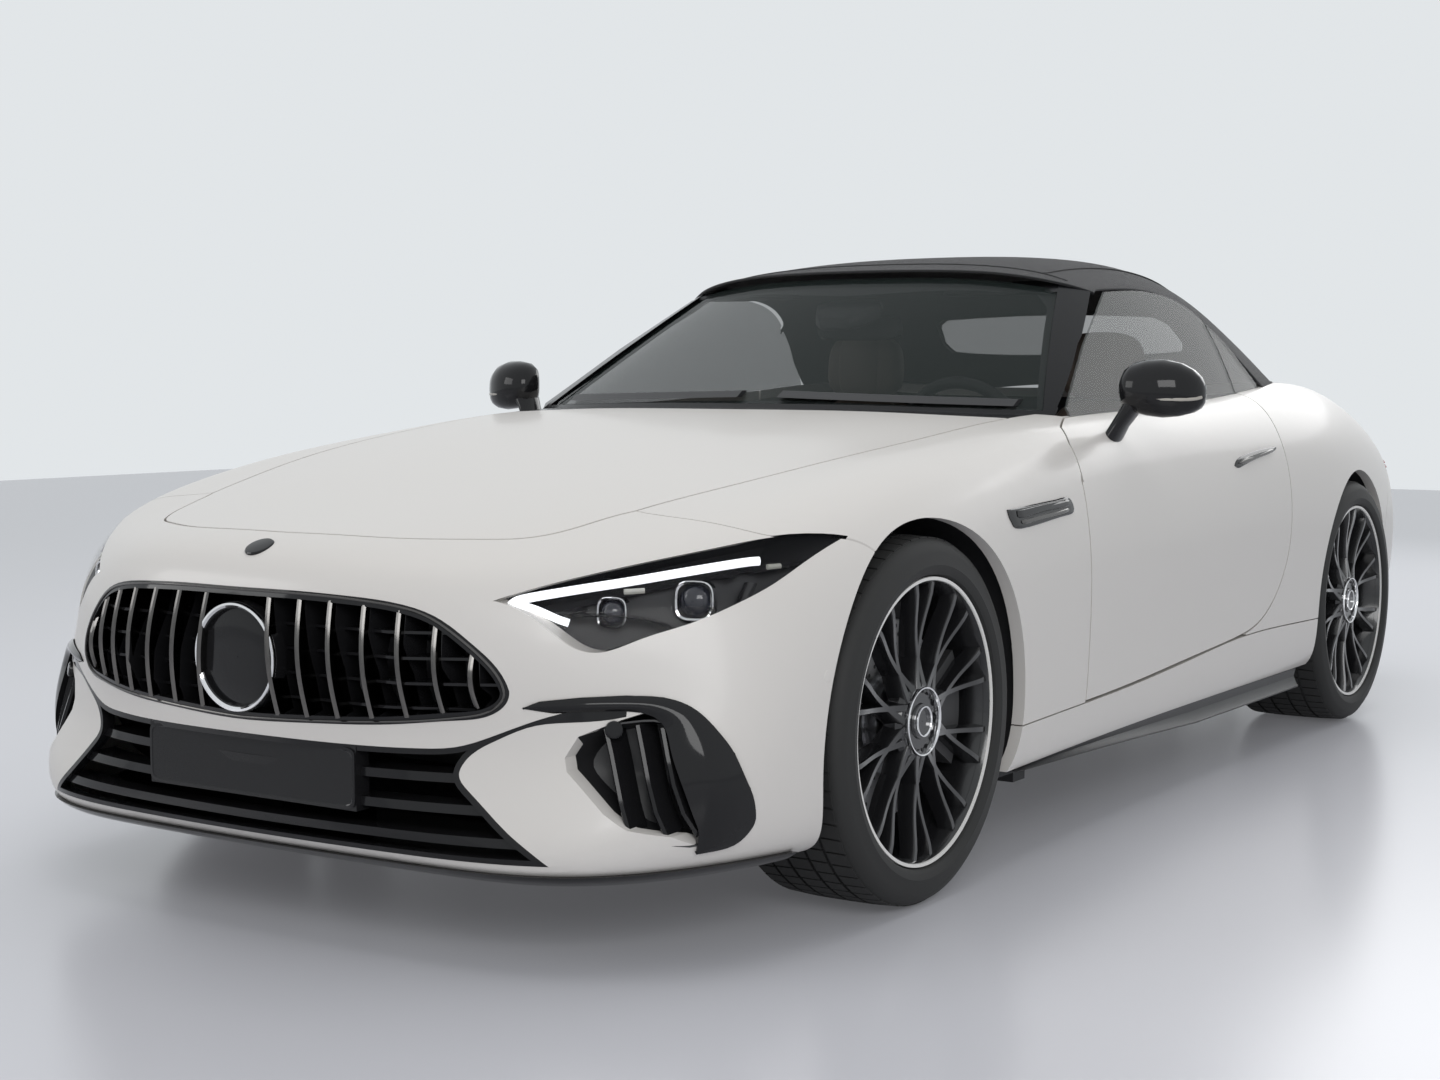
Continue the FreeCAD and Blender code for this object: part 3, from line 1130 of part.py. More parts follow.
floor_edge = mm.skirt_inner - mm.seat_gap
floor = block(mm.floor_front, mm.bulkhead_station + mm.wall_thickness, -floor_edge, floor_edge,
              mm.floor_bottom, floor_top)
tunnel = block(mm.firewall_station, mm.bulkhead_station, -mm.tunnel_half_width, mm.tunnel_half_width,
               mm.floor_bottom, mm.tunnel_top)
tunnel_space = block(mm.firewall_station - mm.cut_overrun, mm.bulkhead_station + mm.cut_overrun,
                     mm.wall_thickness - mm.tunnel_half_width, mm.tunnel_half_width - mm.wall_thickness,
                     0, mm.tunnel_top - mm.wall_thickness)
low_sill = block(mm.skirt_front, mm.skirt_rear, mm.inner_sill, floor_edge, mm.floor_bottom, mm.sill_top)
high_sill = block(mm.skirt_front, mm.skirt_rear, mm.inner_sill, beyond, mm.skirt_top + mm.seat_gap,
                  mm.sill_top)
firewall = block(mm.firewall_station, mm.firewall_station + mm.wall_thickness, -beyond, beyond,
                 mm.floor_bottom, mm.overall_height)
pillar = block(mm.hinge_pillar_front, mm.firewall_station + mm.wall_thickness, mm.pillar_inner, beyond,
               mm.skirt_top + mm.seat_gap, mm.belt_height)
rear_pillar = block(mm.rear_pillar_front, mm.rear_pillar_front + mm.rear_pillar_length, mm.pillar_inner,
                    beyond, mm.skirt_top + mm.seat_gap, mm.belt_height)
bulkhead = block(mm.bulkhead_station, mm.bulkhead_station + mm.wall_thickness, -beyond, beyond,
                 mm.floor_bottom, mm.overall_height)
shelf = block(mm.bulkhead_station, mm.shelf_rear, -mm.shelf_half_width, mm.shelf_half_width,
              mm.shelf_height, mm.shelf_height + mm.wall_thickness)
boot = block(mm.bulkhead_station, mm.tail_beam_front, -mm.boot_half_width, mm.boot_half_width,
             mm.boot_floor, mm.boot_floor + mm.wall_thickness)
tail_beam = block(mm.tail_beam_front, mm.overall_length, -mm.boot_half_width, mm.boot_half_width,
                  mm.boot_floor, mm.tail_beam_top)
latch = block(mm.tail_beam_front, mm.overall_length, -mm.latch_half_width, mm.latch_half_width,
              mm.boot_floor, mm.latch_top)
nose_beam = block(mm.nose_beam_station, mm.nose_beam_station + mm.nose_beam_depth,
                  -mm.nose_beam_half_width, mm.nose_beam_half_width, mm.nose_beam_bottom,
                  mm.nose_beam_bottom + mm.nose_beam_height)
rail = block(mm.nose_beam_station, mm.firewall_station + mm.wall_thickness, mm.rail_inner, rail_outer,
             mm.rail_bottom, mm.rail_top)
hinge_box = block(mm.hinge_box_front, mm.firewall_station, mm.hinge_box_inner,
                  mm.hinge_box_inner + mm.hinge_box_width, mm.rail_top, mm.overall_height)
hinge_foot = block(mm.hinge_box_front, mm.firewall_station, mm.rail_inner,
                   mm.hinge_box_inner + mm.hinge_box_width, mm.rail_top - mm.wall_thickness,
                   mm.rail_top)
liner = crosswise(mm.front_housing_radius + mm.housing_wall, front_axle_station, mm.front_tyre_radius,
                  mm.rail_inner, beyond)
liner = liner.common(block(0, mm.overall_length, 0, beyond, floor_top, mm.overall_height))
rear_liner = crosswise(mm.rear_housing_radius + mm.housing_wall, rear_axle_station, mm.rear_tyre_radius,
                       mm.rear_rail_inner, beyond)
rear_liner = rear_liner.common(block(0, mm.overall_length, 0, beyond, mm.rear_liner_bottom,
                                     mm.overall_height))
stop = block(mm.door_stop_front, mm.rear_pillar_front + mm.rear_pillar_length, mm.pillar_inner, beyond,
             mm.door_stop_height, mm.door_stop_height + mm.wall_thickness)
stop = stop.common(body_solid(mm.door_depth + mm.seat_gap))
jack = block(mm.jack_front_station, mm.jack_front_station + mm.jack_pad, mm.jack_pad_middle,
             mm.jack_pad_middle + mm.jack_pad, mm.floor_bottom - mm.jack_pad_depth, floor_top)
rear_jack = jack.translated(Vector(mm.jack_front_station - mm.jack_rear_station, 0, 0))
axle_notch = block(rear_axle_station - mm.arm_notch / 2, rear_axle_station + mm.arm_notch / 2,
                   mm.rear_rail_inner - mm.cut_overrun, mm.rear_rail_inner + mm.wall_thickness * 2,
                   0, mm.rear_notch_top)

beam_notch = block(front_axle_station - mm.beam_half_width - mm.seat_gap,
                   front_axle_station + mm.beam_half_width + mm.seat_gap, 0, rail_outer + mm.cut_overrun,
                   0, floor_top + mm.beam_height + mm.seat_gap * 2)
skirt_notch = block(mm.skirt_front - mm.seat_gap, mm.skirt_rear + mm.seat_gap, floor_edge, beyond,
                    0, mm.skirt_top + mm.seat_gap)

wall_foot = block(mm.firewall_station, mm.firewall_station + mm.wall_thickness, -floor_edge, floor_edge,
                  mm.floor_bottom, mm.sill_top)
rear_wall_foot = wall_foot.translated(Vector(mm.firewall_station - mm.bulkhead_station, 0, 0))
gap_door = door_region(mm.tub_gap)

left = high_sill.fuse([pillar, rear_pillar, rail, hinge_box, hinge_foot, liner, rear_liner])
left = left.cut([front_housing, rear_housing, axle_notch, beam_notch, skirt_notch])
upper_tub = firewall.fuse([bulkhead, shelf, boot, tail_beam, latch, nose_beam, left, mirrored(left)])
upper_tub = upper_tub.cut([front_housing, mirrored(front_housing), rear_housing, mirrored(rear_housing),
                           gap_door, mirrored(gap_door), skirt_notch, mirrored(skirt_notch)])
upper_tub = upper_tub.common(tub_space)
lower_tub = floor.fuse([wall_foot, rear_wall_foot, tunnel, jack, rear_jack, mirrored(jack),
                        mirrored(rear_jack), low_sill, mirrored(low_sill)])
lower_tub = lower_tub.cut([tunnel_space, front_housing, mirrored(front_housing), rear_housing,
                           mirrored(rear_housing)])
tub = lower_tub.fuse(upper_tub).fuse([stop, mirrored(stop)]).cut(tunnel_space)
node("body_tub", main_solids(tub.removeSplitter(), 1))


# Cabin

column_start = at(mm.steering_wheel_station, mm.driver_middle, mm.steering_wheel_height)
slope = math.radians(mm.steering_wheel_tilt)
column_direction = Vector(math.cos(slope), 0, -math.sin(slope))
bore = Part.makeCylinder(mm.column_radius + mm.seat_gap, mm.column_length + mm.cut_overrun, column_start,
                         column_direction)
dashboard = side_prism([side_points(DASHBOARD_SHARES)], -mm.dashboard_half_width, mm.dashboard_half_width)
console = block(mm.console_front, mm.console_rear, -mm.console_half_width, mm.console_half_width,
                mm.tunnel_top + mm.seat_gap, mm.tunnel_top + mm.console_height)
bridge = block(mm.console_front - mm.console_reach, mm.console_front, -mm.console_half_width,
               mm.console_half_width, mm.tunnel_top + mm.console_height - mm.wall_thickness * 2,
               mm.bridge_top)
dashboard = dashboard.fuse([console, bridge])
clear = block(0, mm.firewall_station + mm.wall_thickness + mm.seat_gap, -beyond, beyond, 0,
              mm.overall_height)
dashboard = dashboard.cut([clear, bore]).common(tub_space).cut([gap_door, mirrored(gap_door)])
node("dashboard", main_solids(dashboard, 1))

seat_outer = mm.driver_middle + mm.seat_width / 2
cushion = side_prism([side_points(SEAT_SHARES)], mm.driver_middle - mm.seat_width / 2, seat_outer)
headrest = side_prism([side_points(HEADREST_SHARES)], mm.driver_middle - mm.headrest_width / 2,
                      mm.driver_middle + mm.headrest_width / 2)
rails = []
seat_line = side_points(SEAT_SHARES)
for side in (mm.driver_middle - mm.seat_width / 4, mm.driver_middle + mm.seat_width / 4):
    rails.append(Part.makeBox(seat_line[0].x - seat_line[-1].x, mm.seat_rail_width,
                              seat_line[2].z - floor_top - mm.seat_gap,
                              Vector(seat_line[-1].x, side - mm.seat_rail_width / 2,
                                     floor_top + mm.seat_gap)))
front_seat = cushion.fuse([headrest] + rails)
back_front = mm.bulkhead_station - mm.seat_gap - mm.rear_back_depth
rear_seat = block(mm.rear_seat_front, mm.bulkhead_station - mm.seat_gap, -mm.rear_seat_half_width,
                  mm.rear_seat_half_width, mm.tunnel_top + mm.seat_gap, mm.rear_seat_height)
rear_seat = rear_seat.fuse(block(back_front, mm.bulkhead_station - mm.seat_gap, -mm.rear_seat_half_width,
                                 mm.rear_seat_half_width, mm.rear_seat_height, mm.rear_back_height))
left_seat = main_solids(front_seat, 1)
node("seats", Part.makeCompound([left_seat, mirrored(left_seat), rear_seat]))

rim = Part.makeTorus(mm.steering_wheel_radius - mm.steering_rim_radius, mm.steering_rim_radius)
boss = Part.makeCylinder(mm.steering_boss_radius, mm.steering_boss_depth)
column = Part.makeCylinder(mm.column_radius, mm.column_length)
spokes = []
for angle in STEERING_SPOKE_ANGLES:
    spoke = Part.makeBox(mm.steering_wheel_radius - mm.steering_rim_radius, mm.steering_spoke_width,
                         mm.steering_spoke_depth, Vector(0, -mm.steering_spoke_width / 2, 0))
    spoke.rotate(Vector(0, 0, 0), Vector(0, 0, 1), angle)
    spokes.append(spoke)
wheel = node("steering_wheel", fused([rim, boss, column] + spokes))
wheel.Placement = Placement(column_start, Rotation(Vector(0, 0, 1), column_direction))


# Running gear

engine = doc.addObject("Part::Box", "engine")
engine.Label = "engine"
bind(engine, "Length", "engine_length")
bind(engine, "Width", "engine_half_width * 2")
bind(engine, "Height", "engine_height")
bind(engine, "Placement.Base.x",
     "overall_length / 2 - front_overhang - engine_behind_axle")
bind(engine, "Placement.Base.y", "-engine_half_width")
bind(engine, "Placement.Base.z", "floor_bottom + floor_thickness + seat_gap * 2 + beam_height")
nodes.append(engine)


def caliper(axle_station, axle_height, wheel_middle, disc_radius):
    """Block over the rear edge of a disc, open towards it."""
    disc_inner = wheel_middle + mm.disc_offset
    disc_outer = disc_inner + mm.disc_thickness
    outer_radius = disc_radius + mm.brake_gap + mm.caliper_wall
    inner_face = disc_inner - mm.brake_gap - mm.caliper_leg
    outer_face = disc_outer + mm.brake_gap + mm.caliper_leg
    body = Part.makeCylinder(outer_radius, outer_face - inner_face,
                             at(axle_station, inner_face, axle_height),
                             Vector(0, 1, 0), mm.caliper_angle)
    body.rotate(at(axle_station, 0, axle_height), Vector(0, 1, 0), mm.caliper_turn)
    space = crosswise(disc_radius + mm.brake_gap, axle_station, axle_height, disc_inner - mm.brake_gap,
                      disc_outer + mm.brake_gap)
    core = crosswise(mm.caliper_root, axle_station, axle_height, 0, beyond)
    return body.cut([space, core])


def upright(axle_station, axle_height, wheel_middle):
    """Post on the steering axis with the wheel bearing carrier and the caliper bracket."""
    post_middle = wheel_middle - mm.kingpin_inset
    post = Part.makeCylinder(mm.knuckle_half_width, mm.knuckle_half_height * 2,
                             at(axle_station, post_middle, axle_height - mm.knuckle_half_height))
    carrier = crosswise(mm.carrier_radius, axle_station, axle_height, post_middle,
                        wheel_middle + mm.disc_offset - mm.seat_gap)
    reach = mm.caliper_root + mm.caliper_leg
    bracket = block(axle_station, axle_station + reach, post_middle, wheel_middle + mm.disc_offset
                    - mm.brake_gap, axle_height - mm.bracket_half_height,
                    axle_height + mm.bracket_half_height)
    return [post, carrier, bracket]


def arms(axle_station, axle_height, wheel_middle, inner_low, inner_high):
    """Lower and upper arm, over and under the post that they carry."""
    outer = wheel_middle - mm.kingpin_inset + mm.knuckle_half_width
    top = axle_height + mm.knuckle_half_height + mm.seat_gap
    bottom = axle_height - mm.knuckle_half_height - mm.seat_gap
    low = block(axle_station - mm.arm_half_width, axle_station + mm.arm_half_width, inner_low, outer,
                bottom - mm.arm_height, bottom)
    high = block(axle_station - mm.arm_half_width, axle_station + mm.arm_half_width, inner_high, outer,
                 top, top + mm.arm_height)
    return low, high


front_caliper = caliper(front_axle_station, mm.front_tyre_radius, mm.front_wheel_middle,
                        mm.front_disc_radius)
knuckle = fused(upright(front_axle_station, mm.front_tyre_radius, mm.front_wheel_middle) + [front_caliper])
mirror_node(node("knuckle_front_left", knuckle), "knuckle_front_right")

low_arm, high_arm = arms(front_axle_station, mm.front_tyre_radius, mm.front_wheel_middle,
                         0, rail_outer + mm.seat_gap)
beam = block(front_axle_station - mm.beam_half_width, front_axle_station + mm.beam_half_width,
             -mm.beam_reach, mm.beam_reach, floor_top + mm.seat_gap,
             floor_top + mm.seat_gap + mm.beam_height)
node("front_axle", Part.makeCompound([fused([beam, low_arm, mirrored(low_arm)]), high_arm,
                                      mirrored(high_arm)]))

low_arm, high_arm = arms(rear_axle_station, mm.rear_tyre_radius, mm.rear_wheel_middle, 0,
                         mm.rear_rail_inner)
shaft = crosswise(mm.shaft_radius, rear_axle_station, mm.rear_tyre_radius, 0,
                  mm.rear_wheel_middle - mm.kingpin_inset)
drive = block(rear_axle_station - mm.drive_half_length, rear_axle_station + mm.drive_half_length,
              -mm.drive_half_width, mm.drive_half_width, mm.drive_bottom, mm.boot_floor - mm.seat_gap)
rear_post = Part.makeCylinder(mm.knuckle_half_width, mm.knuckle_half_height * 2 + mm.arm_height * 2,
                              at(rear_axle_station, mm.rear_wheel_middle - mm.kingpin_inset,
                                 mm.rear_tyre_radius - mm.knuckle_half_height - mm.arm_height))
rear_caliper = caliper(rear_axle_station, mm.rear_tyre_radius, mm.rear_wheel_middle, mm.rear_disc_radius)
rear_left = upright(rear_axle_station, mm.rear_tyre_radius, mm.rear_wheel_middle)
rear_left += [rear_caliper, low_arm, high_arm, shaft, rear_post]
node("rear_axle", fused([drive] + rear_left + [mirrored(piece) for piece in rear_left]))


# Wheels
# A wheel lies in its own frame, where y runs from its inner to its outer side.

class Length:
    """A size from the sheet, or a formula of such sizes, with its value."""

    def __init__(self, value, formula):
        self.value = value
        self.formula = formula

    def joined(self, other, sign, value):
        return Length(value, "(%s %s %s)" % (self.formula, sign, getattr(other, "formula", other)))

    def __add__(self, other):
        return self.joined(other, "+", self.value + getattr(other, "value", other))

    def __sub__(self, other):
        return self.joined(other, "-", self.value - getattr(other, "value", other))

    def __mul__(self, other):
        return self.joined(other, "*", self.value * getattr(other, "value", other))

    def __truediv__(self, other):
        return self.joined(other, "/", self.value / getattr(other, "value", other))

    def cosine(self):
        return Length(math.cos(math.radians(self.value)), "cos(%s)" % self.formula)

    def sine(self):
        return Length(math.sin(math.radians(self.value)), "sin(%s)" % self.formula)


def size(name):
    return Length(float(sheet.get(name)), name)


ZERO = Length(0, "0")


def origin_plane(body, role):
    return [plane for plane in body.Origin.OriginFeatures if plane.Role == role][0]


def profile(body, role, name, vertices):
    """Closed sketch of straight lines whose corners follow the sheet."""
    sketch = body.newObject("Sketcher::SketchObject", name)
    sketch.AttachmentSupport = [(origin_plane(body, role), "")]
    sketch.MapMode = "FlatFace"
    count = len(vertices)
    for index, (first, second) in enumerate(vertices):
        after = vertices[(index + 1) % count]
        sketch.addGeometry(Part.LineSegment(Vector(first.value, second.value, 0),
                                            Vector(after[0].value, after[1].value, 0)), False)
    for index in range(count):
        sketch.addConstraint(Sketcher.Constraint("Coincident", index, 2, (index + 1) % count, 1))
    for index, corner in enumerate(vertices):
        for kind, axis, length in (("DistanceX", -2, corner[0]), ("DistanceY", -1, corner[1])):
            if length is ZERO:
                sketch.addConstraint(Sketcher.Constraint("PointOnObject", index, 1, axis))
            else:
                made = sketch.addConstraint(Sketcher.Constraint(kind, -1, 1, index, 1, length.value))
                bind(sketch, "Constraints[%d]" % made, length.formula)
    return sketch


def revolved(body, name, vertices):
    sketch = profile(body, "XY_Plane", name + "_profile", vertices)
    revolution = body.newObject("PartDesign::Revolution", name)
    revolution.Profile = sketch
    revolution.ReferenceAxis = (sketch, ["V_Axis"])
    revolution.Angle = 360
    body.Tip = revolution
    return revolution


def wheel_body(name, axle_station, axle_height, wheel_middle, width):
    """Body in the wheel's own frame, placed on the left-hand side of the car."""
    body = doc.addObject("PartDesign::Body", name)
    body.Label = name
    bind(body, "Placement.Base.x", "overall_length / 2 - %s" % axle_station)
    bind(body, "Placement.Base.y", "%s - %s / 2" % (wheel_middle, width))
    bind(body, "Placement.Base.z", axle_height)
    nodes.append(body)
    return body


def tyre_profile(radius, width):
    seat = size("rim_seat_radius") + size("seat_gap")
    bead = size("rim_inset") + size("rim_lip_width") + size("seat_gap")
    lip = size("rim_lip_radius") + size("seat_gap")
    shoulder = size("tread_inset")
    widest = size("sidewall_radius")
    return [(seat, bead), (seat, width - bead), (lip, width - bead), (widest, width),
            (radius, width - shoulder), (radius, shoulder), (widest, ZERO), (lip, bead)]


def rim_profile(width):
    barrel = size("rim_seat_radius") - size("rim_wall")
    seat = size("rim_seat_radius")
    lip = size("rim_lip_radius")
    edge = size("rim_inset")
    flange = edge + size("rim_lip_width")
    return [(barrel, edge), (lip, edge), (lip, flange), (seat, flange), (seat, width - flange),
            (lip, width - flange), (lip, width - edge), (barrel, width - edge)]


def hub_profile(width):
    face = width - size("spoke_inset")
    back = face - size("hub_depth")
    radius = size("hub_radius")
    return [(ZERO, back), (radius, back), (radius, face), (ZERO, face)]


def spoke(body, name, width, lean):
    """One leaning spoke of a crossing pair, drawn about the diagonal of its plane."""
    root = size("spoke_root")
    tip = size("rim_seat_radius") - size("rim_wall") / 2
    start = size("spoke_diagonal") - lean / 2
    end = size("spoke_diagonal") + lean / 2
    root_half = size("spoke_root_angle") / 2
    tip_half = size("spoke_tip_angle") / 2
    vertices = []
    for radius, angle in ((root, start - root_half), (tip, end - tip_half), (tip, end + tip_half),
                          (root, start + root_half)):
        vertices.append((angle.cosine() * radius, angle.sine() * radius))
    sketch = profile(body, "XZ_Plane", name + "_outline", vertices)
    bind(sketch, "AttachmentOffset.Base.z",
         "spoke_inset + spoke_depth - %s" % width.formula)
    pad = body.newObject("PartDesign::Pad", name)
    pad.Profile = sketch
    pad.Reversed = True
    bind(pad, "Length", "spoke_depth")
    body.Tip = pad
    return pad


def disc_profile(width, radius):
    inner = width / 2 + size("disc_offset")
    outer = inner + size("disc_thickness")
    bell = size("bell_radius")
    back = width - size("spoke_inset") - size("hub_depth") - size("seat_gap")
    return [(ZERO, inner), (radius, inner), (radius, outer), (bell, outer), (bell, back), (ZERO, back)]


for axle, station, height, middle in (
        ("front", "front_overhang", "front_tyre_radius", "front_wheel_middle"),
        ("rear", "(front_overhang + wheelbase)", "rear_tyre_radius", "rear_wheel_middle")):
    width = size(axle + "_tyre_width")

    tyre = wheel_body("tyre_%s_left" % axle, station, height, middle, width.formula)
    revolved(tyre, "tyre_%s" % axle, tyre_profile(size(height), width))

    rim = wheel_body("rim_%s_left" % axle, station, height, middle, width.formula)
    revolved(rim, "barrel_%s" % axle, rim_profile(width))
    revolved(rim, "hub_%s" % axle, hub_profile(width))
    lean = size("spoke_lean")
    forward_spoke = spoke(rim, "spoke_%s" % axle, width, lean)
    back_spoke = spoke(rim, "crossing_spoke_%s" % axle, width, ZERO - lean)
    pattern = rim.newObject("PartDesign::PolarPattern", "spokes_%s" % axle)
    pattern.Originals = [forward_spoke, back_spoke]
    pattern.Axis = (origin_plane(rim, "Y_Axis"), [""])
    pattern.Angle = 360
    bind(pattern, "Occurrences", "spoke_pairs")
    rim.Tip = pattern

    disc = wheel_body("brake_disc_%s_left" % axle, station, height, middle, width.formula)
    revolved(disc, "disc_%s" % axle, disc_profile(width, size(axle + "_disc_radius")))

    for left in (tyre, rim, disc):
        mirror_node(left, left.Label.replace("left", "right"))

doc.recompute()

failed = [thing.Label for thing in doc.Objects if "Invalid" in thing.State or "Error" in thing.State]
if failed:
    raise RuntimeError("These did not build: %s" % ", ".join(failed))
for piece in nodes:
    if piece.Shape.isNull() or not piece.Shape.isValid():
        raise RuntimeError("%s has no valid shape" % piece.Label)
os.makedirs("parts", exist_ok=True)
for piece in nodes:
    piece.Shape.exportStep("parts/%s.step" % piece.Label)
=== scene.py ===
# %% [markdown]
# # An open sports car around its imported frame
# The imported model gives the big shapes: body panels, glass, wheels and cabin blocks.
# This script dresses them. Each step first says what the piece is on the real car,
# how it could be made in Blender, and why this way was chosen.

# %% Load the frame
import json
import math

import bmesh
import bpy
import numpy
from mathutils import Matrix, Vector
from mathutils.bvhtree import BVHTree


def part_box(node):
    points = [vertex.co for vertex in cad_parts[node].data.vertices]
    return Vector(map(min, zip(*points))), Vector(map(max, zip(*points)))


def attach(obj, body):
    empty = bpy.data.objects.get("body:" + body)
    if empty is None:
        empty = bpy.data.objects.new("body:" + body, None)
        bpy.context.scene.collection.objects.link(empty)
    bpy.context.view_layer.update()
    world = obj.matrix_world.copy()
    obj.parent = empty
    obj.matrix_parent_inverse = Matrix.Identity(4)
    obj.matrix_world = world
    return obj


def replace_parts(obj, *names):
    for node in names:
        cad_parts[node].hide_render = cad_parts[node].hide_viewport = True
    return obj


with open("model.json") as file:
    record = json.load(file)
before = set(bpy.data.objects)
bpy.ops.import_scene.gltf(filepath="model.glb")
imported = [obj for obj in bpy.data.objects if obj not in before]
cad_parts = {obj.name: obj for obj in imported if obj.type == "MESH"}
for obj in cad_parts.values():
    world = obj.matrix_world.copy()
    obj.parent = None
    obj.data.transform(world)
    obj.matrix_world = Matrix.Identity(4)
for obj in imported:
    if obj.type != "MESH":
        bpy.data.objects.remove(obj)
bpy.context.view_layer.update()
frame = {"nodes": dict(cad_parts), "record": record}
nodes = frame["nodes"]
scene = bpy.context.scene

# %% [markdown]
# ## Camera
# The photograph was taken from the front left, at about the height of the wing mirrors.
# A camera is a place, a direction and a lens. The direction is easiest to give as a
# yaw and a pitch, turned into a vector for the camera's own -Z axis to follow.

# %% Camera
CAMERA_PLACE = Vector((5.1256, 2.8630, 1.0391))
CAMERA_YAW = math.radians(213.234)
CAMERA_PITCH = math.radians(-4.4755)
camera_data = bpy.data.cameras.new("camera")
camera_data.lens = 54.27
camera_data.sensor_width = 36
camera = bpy.data.objects.new("camera", camera_data)
scene.collection.objects.link(camera)
looking = Vector((math.cos(CAMERA_PITCH) * math.cos(CAMERA_YAW),
                  math.cos(CAMERA_PITCH) * math.sin(CAMERA_YAW), math.sin(CAMERA_PITCH)))
camera.location = CAMERA_PLACE
camera.rotation_euler = looking.to_track_quat("-Z", "Y").to_euler()
scene.camera = camera
scene.view_settings.view_transform = "Standard"

# %% [markdown]
# ## Shader groups
# Several finishes share an effect: a fine grain, a weave, the pores of leather.
# Each effect is a node group with named sockets, built once and placed in each
# material with its own values. All of them read Object coordinates, so a pattern has
# the same size on every piece. A texture gives a mask, and the mask spreads two
# colours and two roughnesses, and is the height as well.

# %% Node helpers
def wire(tree, node, sockets):
    """Give input sockets of a node a value, or a link where the value is a socket."""
    for label, value in sockets.items():
        if isinstance(value, bpy.types.NodeSocket):
            tree.links.new(value, node.inputs[label])
        else:
            node.inputs[label].default_value = value


def add_node(tree, kind, sockets=None, **settings):
    """A new node with its settings first and its sockets after them."""
    node = tree.nodes.new(kind)
    for name, value in settings.items():
        setattr(node, name, value)
    wire(tree, node, sockets or {})
    return node


# %% Effect groups
GROUP_INPUTS = {"Scale": 100.0, "Colour A": (1, 1, 1, 1), "Colour B": (0, 0, 0, 1), "Rough A": 0.4,
                "Rough B": 0.5}
GROUP_OUTPUTS = {"Colour": "NodeSocketColor", "Roughness": "NodeSocketFloat", "Height": "NodeSocketFloat"}


def effect_group(name, *textures):
    """A group round one or two textures, given as (kind, output, sockets, settings)."""
    tree = bpy.data.node_groups.new(name, "ShaderNodeTree")
    for label, value in GROUP_INPUTS.items():
        kind = "NodeSocketFloat" if isinstance(value, float) else "NodeSocketColor"
        tree.interface.new_socket(label, in_out="INPUT", socket_type=kind).default_value = value
    for label, kind in GROUP_OUTPUTS.items():
        tree.interface.new_socket(label, in_out="OUTPUT", socket_type=kind)
    given = add_node(tree, "NodeGroupInput").outputs
    place = add_node(tree, "ShaderNodeTexCoord").outputs["Object"]
    scaled = add_node(tree, "ShaderNodeVectorMath", {0: place, "Scale": given["Scale"]}, operation="SCALE")
    masks = [add_node(tree, kind, {"Vector": scaled.outputs["Vector"], **sockets}, **settings).outputs[output]
             for kind, output, sockets, settings in textures]
    mask = masks[0]
    if len(masks) > 1:
        mask = add_node(tree, "ShaderNodeMath", dict(enumerate(masks)), operation="MULTIPLY").outputs["Value"]
    colour = add_node(tree, "ShaderNodeMix", {"Factor": mask, "A": given["Colour A"], "B": given["Colour B"]},
                      data_type="RGBA")
    rough = add_node(tree, "ShaderNodeMapRange", {"Value": mask, "To Min": given["Rough A"],
                                                  "To Max": given["Rough B"]})
    add_node(tree, "NodeGroupOutput", {
        "Colour": colour.outputs["Result"], "Roughness": rough.outputs["Result"], "Height": mask})
    return tree


WAVE = {"Scale": 1, "Distortion": 0.6, "Detail": 1}
EFFECTS = {
    "grain": effect_group("grain", ("ShaderNodeTexNoise", "Fac", {"Scale": 1, "Detail": 3}, {})),
    "weave": effect_group("weave", ("ShaderNodeTexWave", "Fac", WAVE, {"bands_direction": "X"}),
                          ("ShaderNodeTexWave", "Fac", WAVE, {"bands_direction": "Y"})),
    "pores": effect_group("pores", ("ShaderNodeTexVoronoi", "Distance", {"Scale": 1}, {})),
}

# %% [markdown]
# ## Finishes
# A finish is one Principled shader fed by one of the groups. Numbers that are the same
# all over, such as metalness or the clear coat, are set on the shader itself. Glass is
# the same shader, mostly see-through, with a plain mirror shine.

# %% Finish helper
BUMP_DISTANCE = 0.0006


def finish(name, scale, first, second, first_rough, second_rough, bump, shader_values=None, effect="grain"):
    """A material: an effect with its size, two colours, two roughnesses and a bump."""
    made = bpy.data.materials.new(name)
    made.use_nodes = True
    tree = made.node_tree
    group = add_node(tree, "ShaderNodeGroup", {
        "Scale": scale, "Colour A": (*first, 1), "Colour B": (*second, 1), "Rough A": first_rough,
        "Rough B": second_rough}, node_tree=EFFECTS[effect])
    relief = add_node(tree, "ShaderNodeBump", {"Strength": bump, "Distance": BUMP_DISTANCE,
                                               "Height": group.outputs["Height"]})
    wire(tree, tree.nodes["Principled BSDF"], {
        "Base Color": group.outputs["Colour"], "Roughness": group.outputs["Roughness"],
        "Normal": relief.outputs["Normal"], **(shader_values or {})})
    made.diffuse_color = (*first, 1)
    return made


def glass_finish(name, tint, clear):
    """Thin tinted glass."""
    made = finish(name, 3, tint, tint, 0.02, 0.03, 0.0, {"Alpha": 1 - clear, "IOR": 1.3})
    made.surface_render_method = "BLENDED"
    return made


def coated(weight, rough):
    """The values of a clear coat."""
    return {"Coat Weight": weight, "Coat Roughness": rough}


